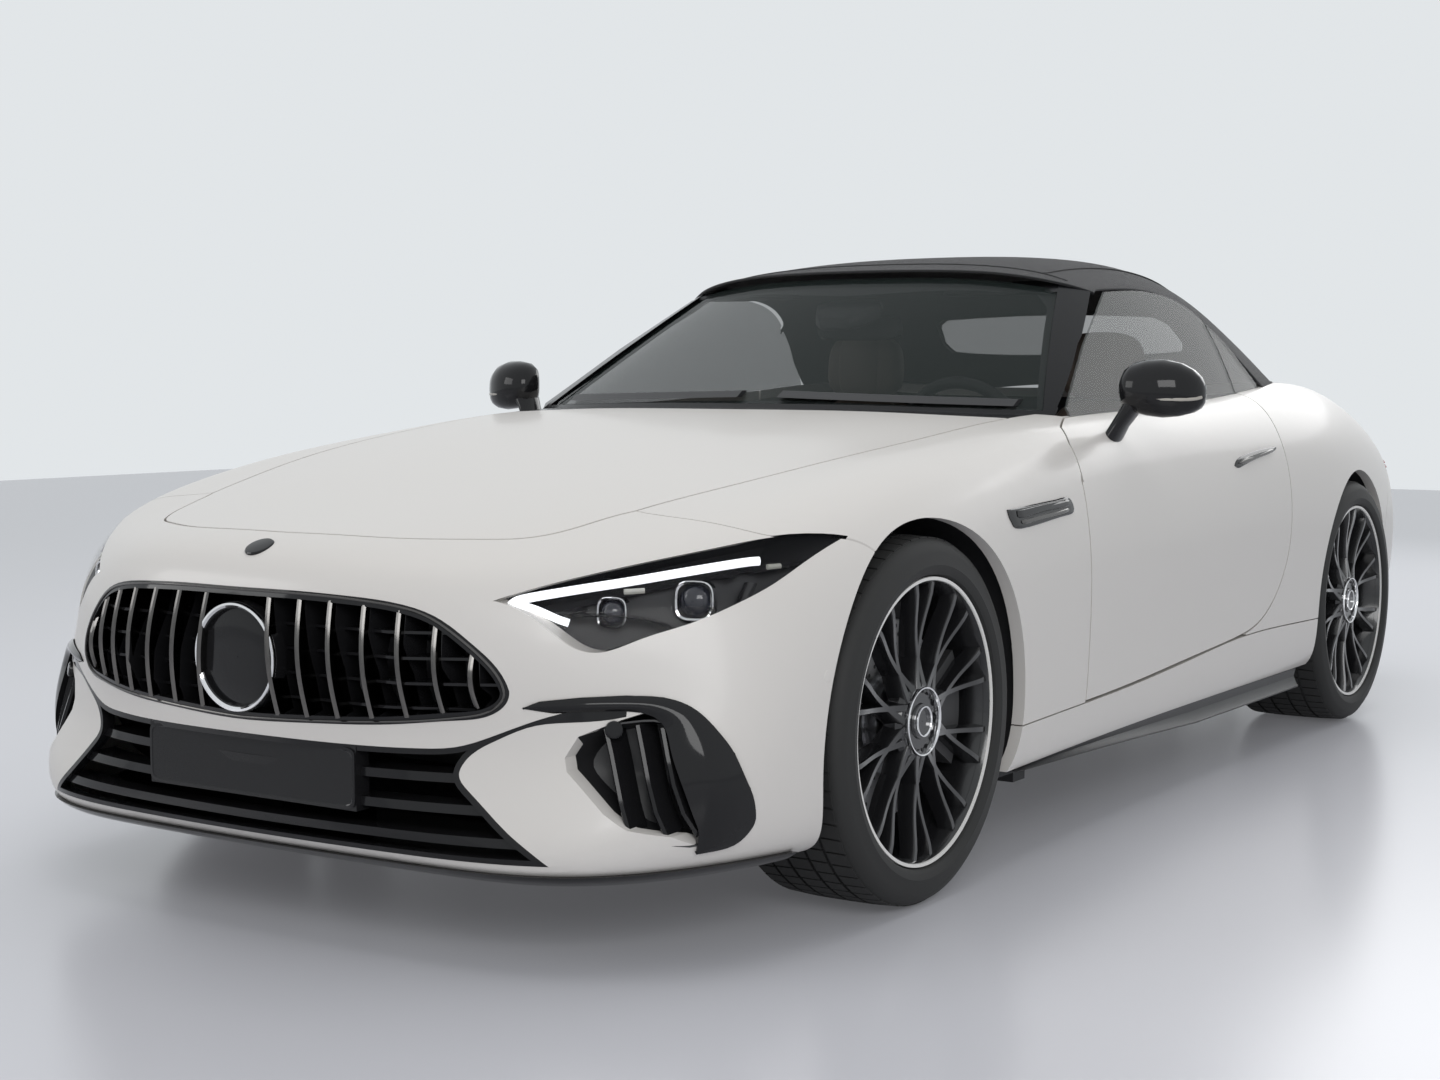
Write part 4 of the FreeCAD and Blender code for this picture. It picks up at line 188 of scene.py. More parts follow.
# %% Paint, plastics, metals, cloth and glass
METAL = {"Metallic": 1.0}
paint = finish("pearl_paint", 900, (0.735, 0.71, 0.675), (0.705, 0.68, 0.645), 0.34, 0.40, 0.05,
               coated(0.25, 0.12))
gloss_black = finish("gloss_black", 500, (0.010, 0.010, 0.011), (0.014, 0.014, 0.015), 0.05, 0.09, 0.02,
                     {"IOR": 1.32, **coated(0.1, 0.03)})
satin_black = finish("satin_black", 1500, (0.014, 0.014, 0.015), (0.028, 0.028, 0.030), 0.38, 0.50, 0.2)
pillar_black = finish("pillar_black", 400, (0.006, 0.006, 0.007), (0.009, 0.009, 0.010), 0.16, 0.22, 0.02,
                      {"IOR": 1.25})
dead_screen = finish("dead_screen", 80, (0.004, 0.004, 0.005), (0.006, 0.006, 0.007), 0.06, 0.10, 0.01)
dark_chrome = finish("dark_chrome", 300, (0.13, 0.125, 0.12), (0.10, 0.097, 0.095), 0.12, 0.18, 0.02, METAL)
bright_chrome = finish("bright_chrome", 300, (0.85, 0.85, 0.86), (0.78, 0.78, 0.79), 0.05, 0.09, 0.01, METAL)
mirror_silver = finish("mirror_silver", 20, (0.80, 0.82, 0.84), (0.76, 0.78, 0.80), 0.02, 0.03, 0.01, METAL)
turned_steel = finish("turned_steel", 160, (0.42, 0.42, 0.43), (0.30, 0.30, 0.31), 0.25, 0.38, 0.1, METAL)
cast_metal = finish("cast_metal", 260, (0.06, 0.06, 0.062), (0.10, 0.10, 0.102), 0.5, 0.7, 0.5,
                    {"Metallic": 0.7})
rim_edge = finish("rim_edge", 300, (0.90, 0.89, 0.86), (0.84, 0.83, 0.80), 0.25, 0.32, 0.02)
wheel_black = finish("wheel_black", 600, (0.009, 0.009, 0.010), (0.013, 0.013, 0.014), 0.14, 0.22, 0.03,
                     coated(0.4, 0.08))
rubber = finish("tyre_rubber", 700, (0.012, 0.012, 0.012), (0.022, 0.022, 0.021), 0.60, 0.78, 0.3)
roof_cloth = finish("roof_cloth", 700, (0.006, 0.006, 0.007), (0.022, 0.022, 0.024), 0.85, 0.95, 0.6,
                    {"Sheen Weight": 0.25}, "weave")
leather = finish("seat_leather", 420, (0.20, 0.155, 0.125), (0.15, 0.115, 0.092), 0.42, 0.55, 0.35,
                 effect="pores")
cabin_trim = finish("cabin_trim", 500, (0.012, 0.012, 0.013), (0.022, 0.022, 0.024), 0.45, 0.6, 0.35,
                    effect="pores")
primer = finish("primer", 240, (0.022, 0.022, 0.024), (0.035, 0.035, 0.037), 0.55, 0.7, 0.2)
window_glass = glass_finish("window_glass", (0.018, 0.026, 0.024), 0.62)
lamp_glass = glass_finish("lamp_glass", (0.02, 0.02, 0.024), 0.90)
light_white = finish("light_white", 40, (0.9, 0.92, 0.95), (0.9, 0.92, 0.95), 0.3, 0.35, 0.0,
                     {"Emission Color": (0.9, 0.92, 0.95, 1), "Emission Strength": 1.2})
projector_glass = finish("projector_glass", 90, (0.05, 0.055, 0.07), (0.012, 0.012, 0.02), 0.02, 0.04, 0.02,
                         coated(1.0, 0.02))
marker_glass = finish("marker_glass", 60, (0.62, 0.62, 0.55), (0.5, 0.5, 0.45), 0.15, 0.2, 0.02)
indicator_glass = finish("indicator_glass", 60, (0.50, 0.47, 0.42), (0.42, 0.40, 0.36), 0.10, 0.16, 0.02)
tail_red = finish("tail_red", 200, (0.16, 0.003, 0.005), (0.10, 0.002, 0.003), 0.10, 0.14, 0.02, {"IOR": 1.3})
tail_bright = finish("tail_bright", 200, (0.42, 0.008, 0.010), (0.34, 0.006, 0.008), 0.10, 0.16, 0.02)

# %% [markdown]
# ## Finishes on the frame's own nodes
# A node whose shape is right already only needs its finish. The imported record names
# a slot for each node, so one table gives each slot its finishes. The first dresses
# the nodes, and the others belong to pieces that are made below.

# %% Dress the nodes
SLOT_FINISHES = {
    "paint_white": (paint,), "gloss_black": (gloss_black,), "matte_black": (satin_black,),
    "dark_chrome": (dark_chrome,), "fabric_black": (roof_cloth,), "window_glass": (window_glass,),
    "lamp_glass": (lamp_glass, light_white, projector_glass, marker_glass, indicator_glass),
    "tail_red": (tail_red, tail_bright), "cabin_dark": (cabin_trim, dead_screen), "seat_leather": (leather,),
    "tub_metal": (primer,), "tyre_rubber": (rubber,), "rim_black": (wheel_black,),
    "disc_steel": (turned_steel,), "axle_iron": (cast_metal,), "engine_metal": (cast_metal,),
    "tip_chrome": (bright_chrome, mirror_silver, rim_edge),
}
OWN_FINISH = {"grille": gloss_black, "windscreen_frame": pillar_black}
for part in frame["record"]["subparts"]:
    materials = nodes[part["node"]].data.materials
    materials.clear()
    materials.append(OWN_FINISH.get(part["node"], SLOT_FINISHES[part["material_slot"]][0]))

# %% [markdown]
# ## Studio
# A pale floor under a pale sky, with large soft lamps round the car. The ceiling lamp
# isn't mirrored by anything, so that the windscreen stays dark and clear.

# %% Floor, lamps and sky
FLOOR_REACH = 14.0
FLOOR_COLOUR = (0.58, 0.585, 0.62, 1)
floor_finish = bpy.data.materials.new("studio_floor")
floor_finish.use_nodes = True
wire(floor_finish.node_tree, floor_finish.node_tree.nodes["Principled BSDF"], {
    "Base Color": FLOOR_COLOUR, "Roughness": 0.24, "Emission Color": FLOOR_COLOUR, "Emission Strength": 0.12})
floor_mesh = bpy.data.meshes.new("floor")
floor_corners = [(FLOOR_REACH * a, FLOOR_REACH * b, 0) for a, b in ((-1, -1), (1, -1), (1, 1), (-1, 1))]
floor_mesh.from_pydata(floor_corners, [], [(0, 1, 2, 3)])
floor_mesh.materials.append(floor_finish)
floor = bpy.data.objects.new("floor", floor_mesh)
scene.collection.objects.link(floor)

for name, place, aim_height, width, depth, power in (
        ("ceiling", (0, 0, 5.2), 0, 7.0, 4.0, 120), ("front_left", (6.0, 5.0, 3.4), 0.6, 4.0, 2.5, 150),
        ("front_right", (6.0, -5.5, 3.0), 0.6, 4.0, 2.5, 80), ("rear", (-7.0, 1.0, 3.4), 0.6, 5.0, 2.5, 90)):
    lamp_data = bpy.data.lights.new(name, "AREA")
    lamp_data.shape = "RECTANGLE"
    lamp_data.size, lamp_data.size_y, lamp_data.energy = width, depth, power
    lamp = bpy.data.objects.new(name, lamp_data)
    lamp.location = place
    lamp.rotation_euler = (Vector((0, 0, aim_height)) - Vector(place)).to_track_quat("-Z", "Y").to_euler()
    lamp.visible_glossy = name != "ceiling"
    scene.collection.objects.link(lamp)

world = bpy.data.worlds.new("studio")
world.use_nodes = True
scene.world = world
tree = world.node_tree
sky = tree.nodes["Background"]
wire(tree, sky, {"Color": (0.82, 0.84, 0.88, 1), "Strength": 0.42})
backdrop = add_node(tree, "ShaderNodeBackground", {"Color": (0.76, 0.79, 0.81, 1), "Strength": 1.0})
rays = add_node(tree, "ShaderNodeLightPath").outputs
shown = rays["Is Camera Ray"]
for ray in ("Is Glossy Ray", "Is Transmission Ray"):
    shown = add_node(tree, "ShaderNodeMath", {0: shown, 1: rays[ray]}, operation="MAXIMUM").outputs[0]
choose = add_node(tree, "ShaderNodeMixShader", {0: shown, 1: sky.outputs[0], 2: backdrop.outputs[0]})
wire(tree, tree.nodes["World Output"], {0: choose.outputs[0]})

# %% [markdown]
# ## Mesh helpers
# Most pieces start as rings of points joined by faces. A lathe turns a profile round
# the wheel's axle. A sweep carries a cross section along a path, which gives tubes,
# trims and bars. A shape is a list of points and a list of faces. Whatever it is, its
# faces are made to point outwards when it becomes a mesh.

# %% Shapes
SMOOTH_ANGLE = math.radians(32)
HALF_LENGTH = 2.3525
FORWARD, LEFT, UP = Vector((1, 0, 0)), Vector((0, 1, 0)), Vector((0, 0, 1))


def at(station, side, height):
    """A point from millimetres behind the nose, left of the middle and above the ground."""
    return Vector((HALF_LENGTH - station / 1000, side / 1000, height / 1000))


def turns(count):
    """Angles at equal steps once round."""
    return [2 * math.pi * step / count for step in range(count)]


def polar(radius, turn, along=0.0):
    """A point round the Y axis."""
    return Vector((radius * math.cos(turn), along, radius * math.sin(turn)))


def rings_shape(rings, loop=False):
    """Rings of equal length as one closed form: with end faces, or the last joined to the first."""
    rows, count = len(rings), len(rings[0])
    faces = []
    for row in range(rows if loop else rows - 1):
        low, high = row * count, (row + 1) % rows * count
        faces += [(low + k, low + (k + 1) % count, high + (k + 1) % count, high + k) for k in range(count)]
    if not loop:
        faces += [tuple(range(count)), tuple((rows - 1) * count + k for k in range(count))]
    return [point for ring in rings for point in ring], faces


def joined(shapes):
    """Several shapes as one."""
    points, faces = [], []
    for part_points, part_faces in shapes:
        start = len(points)
        points += part_points
        faces += [tuple(start + index for index in face) for face in part_faces]
    return points, faces


def moved(matrix, shape):
    """A shape carried by a matrix."""
    return [matrix @ point for point in shape[0]], shape[1]


def lathe(profile, steps=96):
    """Turn a closed profile of (radius, along the axle) round the Y axis."""
    rings = [[polar(radius, turn, along) for radius, along in profile] for turn in turns(steps)]
    return rings_shape(rings, True)


def sweep(path, section, upward=UP, closed=False):
    """Carry a closed section of (across, up) along a path of points."""
    rings = []
    rows = len(path)
    for row, place in enumerate(path):
        before = path[row - 1] if row or closed else path[0]
        after = path[(row + 1) % rows] if row < rows - 1 or closed else path[-1]
        along = (after - before).normalized()
        across = along.cross(upward).normalized()
        up = across.cross(along)
        rings.append([place + (across * a + up * b) for a, b in section])
    return rings_shape(rings, closed)


def signed_power(value, power):
    return math.copysign(abs(value) ** power, value)


def round_section(width, height, count=10, power=1.0):
    """An oval, or with a power below 1 a box with round corners."""
    return [(signed_power(math.cos(turn), power) * width / 2,
             signed_power(math.sin(turn), power) * height / 2) for turn in turns(count)]


def upright_box(rows, steps=20, power=0.45):
    """A closed form through rounded rectangles that face the nose, given as (middle, width, height)."""
    return rings_shape([[middle + LEFT * a + UP * b for a, b in round_section(width, height, steps, power)]
                        for middle, width, height in rows])


def smooth_path(corners, steps=6):
    """Points on a smooth curve through the corners."""
    path = []
    last = len(corners) - 1
    for index in range(last):
        before, start = corners[max(index - 1, 0)], corners[index]
        end, after = corners[index + 1], corners[min(index + 2, last)]
        for step in range(steps):
            t = step / steps
            path.append(0.5 * (2 * start + (end - before) * t
                               + (2 * before - 5 * start + 4 * end - after) * t * t
                               + (3 * start - before - 3 * end + after) * t ** 3))
    path.append(corners[-1])
    return path


def evened(path, spacing=None, steps=None):
    """The path again at equal distances, by a spacing in a loop or by a count of steps."""
    closed = spacing is not None
    line = path + path[:1] if closed else path
    reach = [0.0]
    for before, after in zip(line, line[1:]):
        reach.append(reach[-1] + (after - before).length)
    steps = steps or max(int(reach[-1] / spacing), 8)
    made, index = [], 0
    for step in range(steps if closed else steps + 1):
        wanted = reach[-1] * step / steps
        while index < len(line) - 2 and reach[index + 1] < wanted:
            index += 1
        span = reach[index + 1] - reach[index] or 1
        made.append(line[index].lerp(line[index + 1], min((wanted - reach[index]) / span, 1)))
    return made


# %% Pieces
def mesh_of(name, shape, material, smooth=True):
    """A clean mesh with its doubles merged and its faces pointing outwards."""
    mesh = bpy.data.meshes.new(name)
    mesh.from_pydata([tuple(point) for point in shape[0]], [], shape[1])
    work = bmesh.new()
    work.from_mesh(mesh)
    bmesh.ops.remove_doubles(work, verts=work.verts, dist=1e-6)
    bmesh.ops.dissolve_degenerate(work, edges=work.edges, dist=1e-7)
    bmesh.ops.recalc_face_normals(work, faces=work.faces)
    work.to_mesh(mesh)
    work.free()
    mesh.materials.append(material)
    if smooth:
        mesh.shade_smooth()
        mesh.set_sharp_from_angle(angle=SMOOTH_ANGLE)
    return mesh


def show(mesh, body="body", name=None):
    """Put a finished mesh in the scene as a piece that rides on a body."""
    piece = bpy.data.objects.new(name or mesh.name, mesh)
    scene.collection.objects.link(piece)
    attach(piece, body)
    return piece


def show_both(mesh, body="body"):
    """The piece on the left and its mirror image on the right."""
    other = mesh.copy()
    other.name = mesh.name.replace("left", "right") if "left" in mesh.name else mesh.name + "_right"
    other.transform(Matrix.Scale(-1, 4, LEFT))
    other.flip_normals()
    return show(mesh, body), show(other, body.replace("left", "right"))


# %% [markdown]
# ## Copies round an axle
# Spokes, tread blocks and brake holes repeat. Geometry Nodes do that well: a line of
# points in one place, one copy of the shape on each, turned by its index. The tree
# ends by making the copies real, because an instance is lost in the export.

# %% Copying tree
COPIES_INPUTS = {"Geometry": "NodeSocketGeometry", "Count": "NodeSocketInt", "Turn": "NodeSocketFloat",
                 "Material": "NodeSocketMaterial"}


def copies_tree():
    """Copies of the incoming mesh, each turned on about Y."""
    tree = bpy.data.node_groups.new("copies", "GeometryNodeTree")
    for label, kind in COPIES_INPUTS.items():
        tree.interface.new_socket(label, in_out="INPUT", socket_type=kind)
    tree.interface.new_socket("Geometry", in_out="OUTPUT", socket_type="NodeSocketGeometry")
    given = add_node(tree, "NodeGroupInput").outputs
    line = add_node(tree, "GeometryNodeMeshLine", {"Count": given["Count"], "Offset": (0, 0, 0)})
    index = add_node(tree, "GeometryNodeInputIndex")
    turn = add_node(tree, "ShaderNodeMath", {0: index.outputs[0], 1: given["Turn"]}, operation="MULTIPLY")
    about = add_node(tree, "ShaderNodeCombineXYZ", {"Y": turn.outputs[0]})
    copies = add_node(tree, "GeometryNodeInstanceOnPoints", {
        "Points": line.outputs["Mesh"], "Instance": given["Geometry"], "Rotation": about.outputs[0]})
    real = add_node(tree, "GeometryNodeRealizeInstances", {"Geometry": copies.outputs["Instances"]})
    dressed = add_node(tree, "GeometryNodeSetMaterial", {"Geometry": real.outputs["Geometry"],
                                                         "Material": given["Material"]})
    add_node(tree, "NodeGroupOutput", {"Geometry": dressed.outputs["Geometry"]})
    return tree


COPIES = copies_tree()


def ring_of(mesh, name, count):
    """The mesh repeated round the Y axis by the copying tree, as a plain mesh again."""
    holder = bpy.data.objects.new(name, mesh)
    scene.collection.objects.link(holder)
    modifier = holder.modifiers.new("copies", "NODES")
    modifier.node_group = COPIES
    values = {"Count": count, "Turn": 2 * math.pi / count, "Material": mesh.materials[0]}
    for item in COPIES.interface.items_tree:
        if item.in_out == "INPUT" and item.name in values:
            modifier[item.identifier] = values[item.name]
    bpy.context.view_layer.update()
    made = bpy.data.meshes.new_from_object(holder.evaluated_get(bpy.context.evaluated_depsgraph_get()))
    made.name = name
    bpy.data.objects.remove(holder)
    made.shade_smooth()
    made.set_sharp_from_angle(angle=SMOOTH_ANGLE)
    return made

# %% [markdown]
# ## Wheels
# Each wheel is a forged rim with crossing spokes, a low tyre and a drilled disc.
# A lathe makes what is round. One spoke pair, one pitch of tread blocks and one line
# of holes are drawn, and the copying tree carries them round the axle. The holes are black plugs, painted
# shade.
# A wheel is made at the origin with its outer side towards +Y, and then placed four times.

# %% Tyre
TREAD_DEPTH = 0.006
TREAD_PITCHES = 64
TREAD_MARGIN = 0.020
TREAD_RIBS = ((-0.94, -0.60, 0.35), (-0.54, -0.24, 0.20), (-0.18, 0.18, 0.0), (0.24, 0.54, -0.20),
              (0.60, 0.94, -0.35))
BLOCK_FACES = [(0, 1, 3, 2), (2, 3, 5, 4), (4, 5, 7, 6), (6, 7, 1, 0), (0, 2, 4, 6), (1, 7, 5, 3)]
RIM_RADIUS = 0.283
SEAT_RADIUS = 0.268
SIDE_WALL = ((0.0008, 0.014), (0.004, 0.006), (0.010, 0.002), (0.020, 0.0008), (0.0215, 0.0002),
             (0.023, 0.0008), (0.045, 0.003))


def tyre_pieces(axle, radius, width):
    """Carcass and tread blocks of one tyre."""
    half = width / 2
    base = radius - TREAD_DEPTH
    pitch = 2 * math.pi / TREAD_PITCHES
    side = [(SEAT_RADIUS, half - 0.034), (RIM_RADIUS, half - 0.028)]
    side += [(RIM_RADIUS + out, half - back) for out, back in SIDE_WALL]
    side += [(radius - 0.022, half - 0.007), (radius - 0.012, half - 0.014), (base, half - 0.026)]
    carcass = mesh_of(f"tyre_{axle}", lathe(side + [(r, -y) for r, y in reversed(side)], 120), rubber)
    blocks = []
    for left, right, slant in TREAD_RIBS:
        corners = []
        for share, lift in ((left, 0), (right, 0), (right, 1), (left, 1)):
            edge = abs(share) ** 3 * 0.004
            depth = radius - edge if lift else base - 0.003 - edge
            corners += [polar(depth, (along + slant * share) * pitch, share * (half - TREAD_MARGIN))
                        for along in (0.04, 0.90)]
        blocks.append((corners, BLOCK_FACES))
    one_pitch = mesh_of(f"tread_pitch_{axle}", joined(blocks), rubber, smooth=False)
    return {"carcass": carcass, "tread": ring_of(one_pitch, f"tread_{axle}", TREAD_PITCHES)}


# %% Rim
SPOKE_PAIRS = 10
SPOKE_ROWS = 10
SPOKE_TIP_ANGLE = math.radians(25)


def spoke(face, lean):
    """One spoke from the hub to the rim, with a flat crown and slanted sides."""
    start, end = polar(0.058, lean * 0.10), polar(0.272, lean)
    across = (end - start).cross(LEFT).normalized()
    rings = []
    for row in range(SPOKE_ROWS + 1):
        t = row / SPOKE_ROWS
        crown = face - 0.012 * math.sin(math.pi * min(t * 1.15, 1)) - 0.004 * (1 - t)
        half = 0.0088 - 0.0030 * math.sin(math.pi * t * 0.8)
        depth = 0.040 - 0.010 * t
        section = ((-1.5, depth), (-1.0, 0.004), (-0.75, 0), (0.75, 0), (1.0, 0.004), (1.5, depth))
        rings.append([start.lerp(end, t) + across * half * sideways + LEFT * (crown - down)
                      for sideways, down in section])
    return rings_shape(rings)


BARREL_FACE = ((0.2575, -0.060), (0.2675, -0.030), (0.2675, -0.012), (0.281, -0.008), (0.281, -0.002),
               (0.273, 0.0), (0.268, -0.010), (0.262, -0.040), (0.250, -0.075))
BARREL_BACK = ((0.250, 0.020), (0.262, 0.006), (0.273, 0.0), (0.281, 0.004), (0.281, 0.010), (0.2675, 0.014),
               (0.2575, 0.030))
HUB = ((0.001, -0.010), (0.034, -0.010), (0.036, -0.014), (0.058, -0.014), (0.060, -0.012), (0.076, -0.016),
       (0.082, -0.026), (0.080, -0.050), (0.001, -0.050))
EDGE = ((0.2738, -0.002), (0.2750, 0.0028), (0.2812, 0.0030), (0.2818, -0.002))
HUB_RING = ((0.0625, -0.008), (0.0640, -0.004), (0.0668, -0.0035), (0.0685, -0.008), (0.0685, -0.016),
            (0.0625, -0.016))
CAP = ((0.0262, -0.0052), (0.0275, -0.0035), (0.0298, -0.0036), (0.0305, -0.0055), (0.0305, -0.011),
       (0.0262, -0.011))


def shifted_profile(profile, shift):
    """A profile moved along the axle."""
    return [(radius, along + shift) for radius, along in profile]


def rim_pieces(axle, width):
    """Barrel with hub, spokes, bright edge ring and bright hub rings of one wheel."""
    face = width / 2 - 0.014
    barrel = lathe(shifted_profile(BARREL_FACE, face) + shifted_profile(BARREL_BACK, -face), 120)
    hub, hub_ring, cap = (lathe(shifted_profile(profile, face), steps)
                          for profile, steps in ((HUB, 72), (HUB_RING, 72), (CAP, 48)))
    pair = joined([spoke(face - 0.006, lean) for lean in (SPOKE_TIP_ANGLE, -SPOKE_TIP_ANGLE)])
    one_pair = mesh_of(f"spoke_pair_{axle}", pair, wheel_black)
    return {"rim_barrel": mesh_of(f"barrel_{axle}", joined([barrel, hub]), wheel_black),
            "rim_spokes": ring_of(one_pair, f"spokes_{axle}", SPOKE_PAIRS),
            "rim_edge": mesh_of(f"edge_ring_{axle}", lathe(shifted_profile(EDGE, face), 120), rim_edge),
            "hub_ring": mesh_of(f"hub_ring_{axle}", joined([hub_ring, cap]), bright_chrome)}


# %% Brake disc
BELL = ((0.001, 0.060), (0.070, 0.060), (0.080, 0.054), (0.083, 0.022), (0.110, 0.022), (0.110, 0.030),
        (0.001, 0.030))
FRICTION_INNER = [(0.110, 0.011), (0.110, 0.040), (0.112, 0.042)]
FRICTION_OUTER = ((0.002, 0.042), (0, 0.040), (0, 0.031), (0.012, 0.030), (0.012, 0.022), (0, 0.021),
                  (0, 0.011))
HOLE_RADIUS = 0.0042
HOLE_PLACE = 0.0418
HOLE_LINE = ((0.125, 0), (0.145, 0.045), (0.165, 0.085), (0.181, 0.02))
HOLE_LINES = 30


def disc_pieces(axle, radius):
    """Brake disc with its bell, 10 mm outboard of the wheel's middle, with black plugs of painted shade for
    its drilled holes.
    """
    friction = FRICTION_INNER + [(radius - inwards, along) for inwards, along in FRICTION_OUTER]
    # Each hole is a short black plug on the disc's face, not a cut: painted shade where the open hole would
    # be.
    holes = [rings_shape([[polar(reach, turn, HOLE_PLACE) + polar(HOLE_RADIUS, around, along)
                           for around in turns(8)] for along in (0.0006, -0.004)])
             for reach, turn in HOLE_LINE if reach < radius - 0.008]
    shaded_hole_line = mesh_of(f"hole_line_{axle}", joined(holes), satin_black)
    return {"disc": mesh_of(f"disc_{axle}", joined([lathe(friction), lathe(BELL, 72)]), turned_steel),
            "disc_holes": ring_of(shaded_hole_line, f"disc_holes_{axle}", HOLE_LINES)}


# %% Place the wheels
WHEELS = {"front": (0.361, 0.275, 0.195), "rear": (0.357, 0.305, 0.185)}
WHEEL_NODES = {"carcass": "tyre", "rim_spokes": "rim", "disc": "brake_disc"}
for axle, (tyre_radius, tyre_width, disc_radius) in WHEELS.items():
    pieces = {**tyre_pieces(axle, tyre_radius, tyre_width), **rim_pieces(axle, tyre_width),
              **disc_pieces(axle, disc_radius)}
    for side, half_turn in (("left", 0), ("right", math.pi)):
        low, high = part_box(f"tyre_{axle}_{side}")
        placing = Matrix.Translation((Vector(low) + Vector(high)) / 2) @ Matrix.Rotation(half_turn, 4, "Z")
        placed = {}
        for piece_name, mesh in pieces.items():
            own = mesh.copy()
            own.transform(placing)
            placed[piece_name] = show(own, f"wheel_{axle}_{side}", name=f"{piece_name}_{axle}_{side}")
        for piece_name, node in WHEEL_NODES.items():
            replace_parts(placed[piece_name], f"{node}_{axle}_{side}")

# %% [markdown]
# ## Reading the frame's skin
# Lamps, handles and trims have to sit exactly on the body. A BVH tree of a node's
# triangles answers two questions: where a ray first meets the skin, and which point
# of the skin is nearest. The skin round a point can also be copied as a patch, by
# walking from face to face until the surface turns sharply.

# %% Skin helpers
SKIN_TURN = math.radians(38)


def skin_tree(*names):
    """One search tree over several nodes."""
    return BVHTree.FromPolygons(*joined([([vertex.co.copy() for vertex in nodes[name].data.vertices],
                                          [tuple(polygon.vertices) for polygon in nodes[name].data.polygons])
                                         for name in names]))


def hit(tree, origin, direction):
    """First point of the skin on a ray, or the nearest point if the ray misses."""
    place = tree.ray_cast(origin, direction)[0]
    return tree.find_nearest(origin)[0] if place is None else place


def surface(tree, point, outward=None):
    """Nearest point of the skin, and its normal on the side that looks outward."""
    place, normal, _, _ = tree.find_nearest(point)
    if outward is None:
        outward = place - Vector((place.x * 0.9, 0, 0.3))
    return place, normal if normal.dot(outward) >= 0 else -normal


def skin_patch(name, seed):
    """The smooth skin of a node round a seed point, as an open patch."""
    work = bmesh.new()
    work.from_mesh(nodes[name].data)
    bmesh.ops.remove_doubles(work, verts=work.verts, dist=1e-5)
    work.faces.ensure_lookup_table()
    work.normal_update()
    waiting = [min(work.faces, key=lambda face: (face.calc_center_median() - seed).length)]
    kept = set(waiting)
    while waiting:
        face = waiting.pop()
        for other in [other for edge in face.edges for other in edge.link_faces]:
            if other not in kept and face.normal.angle(other.normal, math.pi) < SKIN_TURN:
                kept.add(other)
                waiting.append(other)
    bmesh.ops.delete(work, geom=[face for face in work.faces if face not in kept], context="FACES")
    return work


def grid_patch(grid):
    """Rows of points as an open patch."""
    work = bmesh.new()
    made = [[work.verts.new(point) for point in line] for line in grid]
    for before, after in zip(made, made[1:]):
        for k in range(len(before) - 1):
            work.faces.new((before[k], before[k + 1], after[k + 1], after[k]))
    return work


def patch_walls(work, count):
    """Faces between the open edges of a patch and those of a copy whose points follow after a count."""
    edges = [tuple(vertex.index for vertex in edge.verts) for edge in work.edges if edge.is_boundary]
    return [(a, b, count + b, count + a) for a, b in edges]


def shell_mesh(work, name, material, drop):
    """A patch as a thin closed shell: the skin, a copy of it below, and a rim between."""
    work.verts.index_update()
    work.normal_update()
    tops = [vertex.co.copy() for vertex in work.verts]
    lows = [vertex.co - vertex.normal * drop for vertex in work.verts]
    count = len(tops)
    faces = [tuple(vertex.index for vertex in face.verts) for face in work.faces]
    faces += [tuple(count + index for index in reversed(face)) for face in faces]
    return mesh_of(name, (tops + lows, faces + patch_walls(work, count)), material)


def boundary_loops(work):
    """The open edges of a patch as ordered loops of points."""
    following = {}
    for edge in work.edges:
        if edge.is_boundary:
            loop = edge.link_loops[0]
            following[loop.vert] = loop.link_loop_next.vert
    loops = []
    while following:
        first, place = next(iter(following.items()))
        ring = [first.co.copy()]
        del following[first]
        while place is not first and place in following:
            ring.append(place.co.copy())
            place = following.pop(place)
        if len(ring) > 12:
            loops.append(ring)
    return loops


# %% [markdown]
# ## Headlamps
# A headlamp is a clear lens over a dark bowl. In the bowl lie an L-shaped light guide,
# two projector lenses in square-round frames and small side markers. The lens is the
# packed lamp's own outer skin. The bowl is the same skin sunk inwards, with walls.

# %% Lens and bowl
BOWL_DEPTH = 0.050
BOWL_SHRINK = 0.06
LENS_THICKNESS = 0.003
LENS_GAP = 0.001
LAMP_OUTWARD = FORWARD * 0.7 + LEFT * 0.6 + UP * 0.35
lamp_skin = skin_tree("headlamps")
patch = skin_patch("headlamps", at(350, 771, 648))
lens = shell_mesh(patch, "lamp_lens_left", lamp_glass, LENS_THICKNESS)
patch.normal_update()
for vertex in patch.verts:
    vertex.co -= vertex.normal * (LENS_THICKNESS + LENS_GAP)
patch.verts.index_update()
rim_points = [vertex.co.copy() for vertex in patch.verts]
count = len(rim_points)
middle = sum(rim_points, Vector()) / count
bowl_points = [point + (middle - point) * BOWL_SHRINK - vertex.normal * BOWL_DEPTH
               for point, vertex in zip(rim_points, patch.verts)]
bowl_faces = [tuple(count + vertex.index for vertex in face.verts) for face in patch.faces]
bowl = bpy.data.meshes.new("lamp_bowl_left")
bowl.from_pydata(rim_points + bowl_points, [], bowl_faces + patch_walls(patch, count))
bowl.materials.append(satin_black)
patch.free()

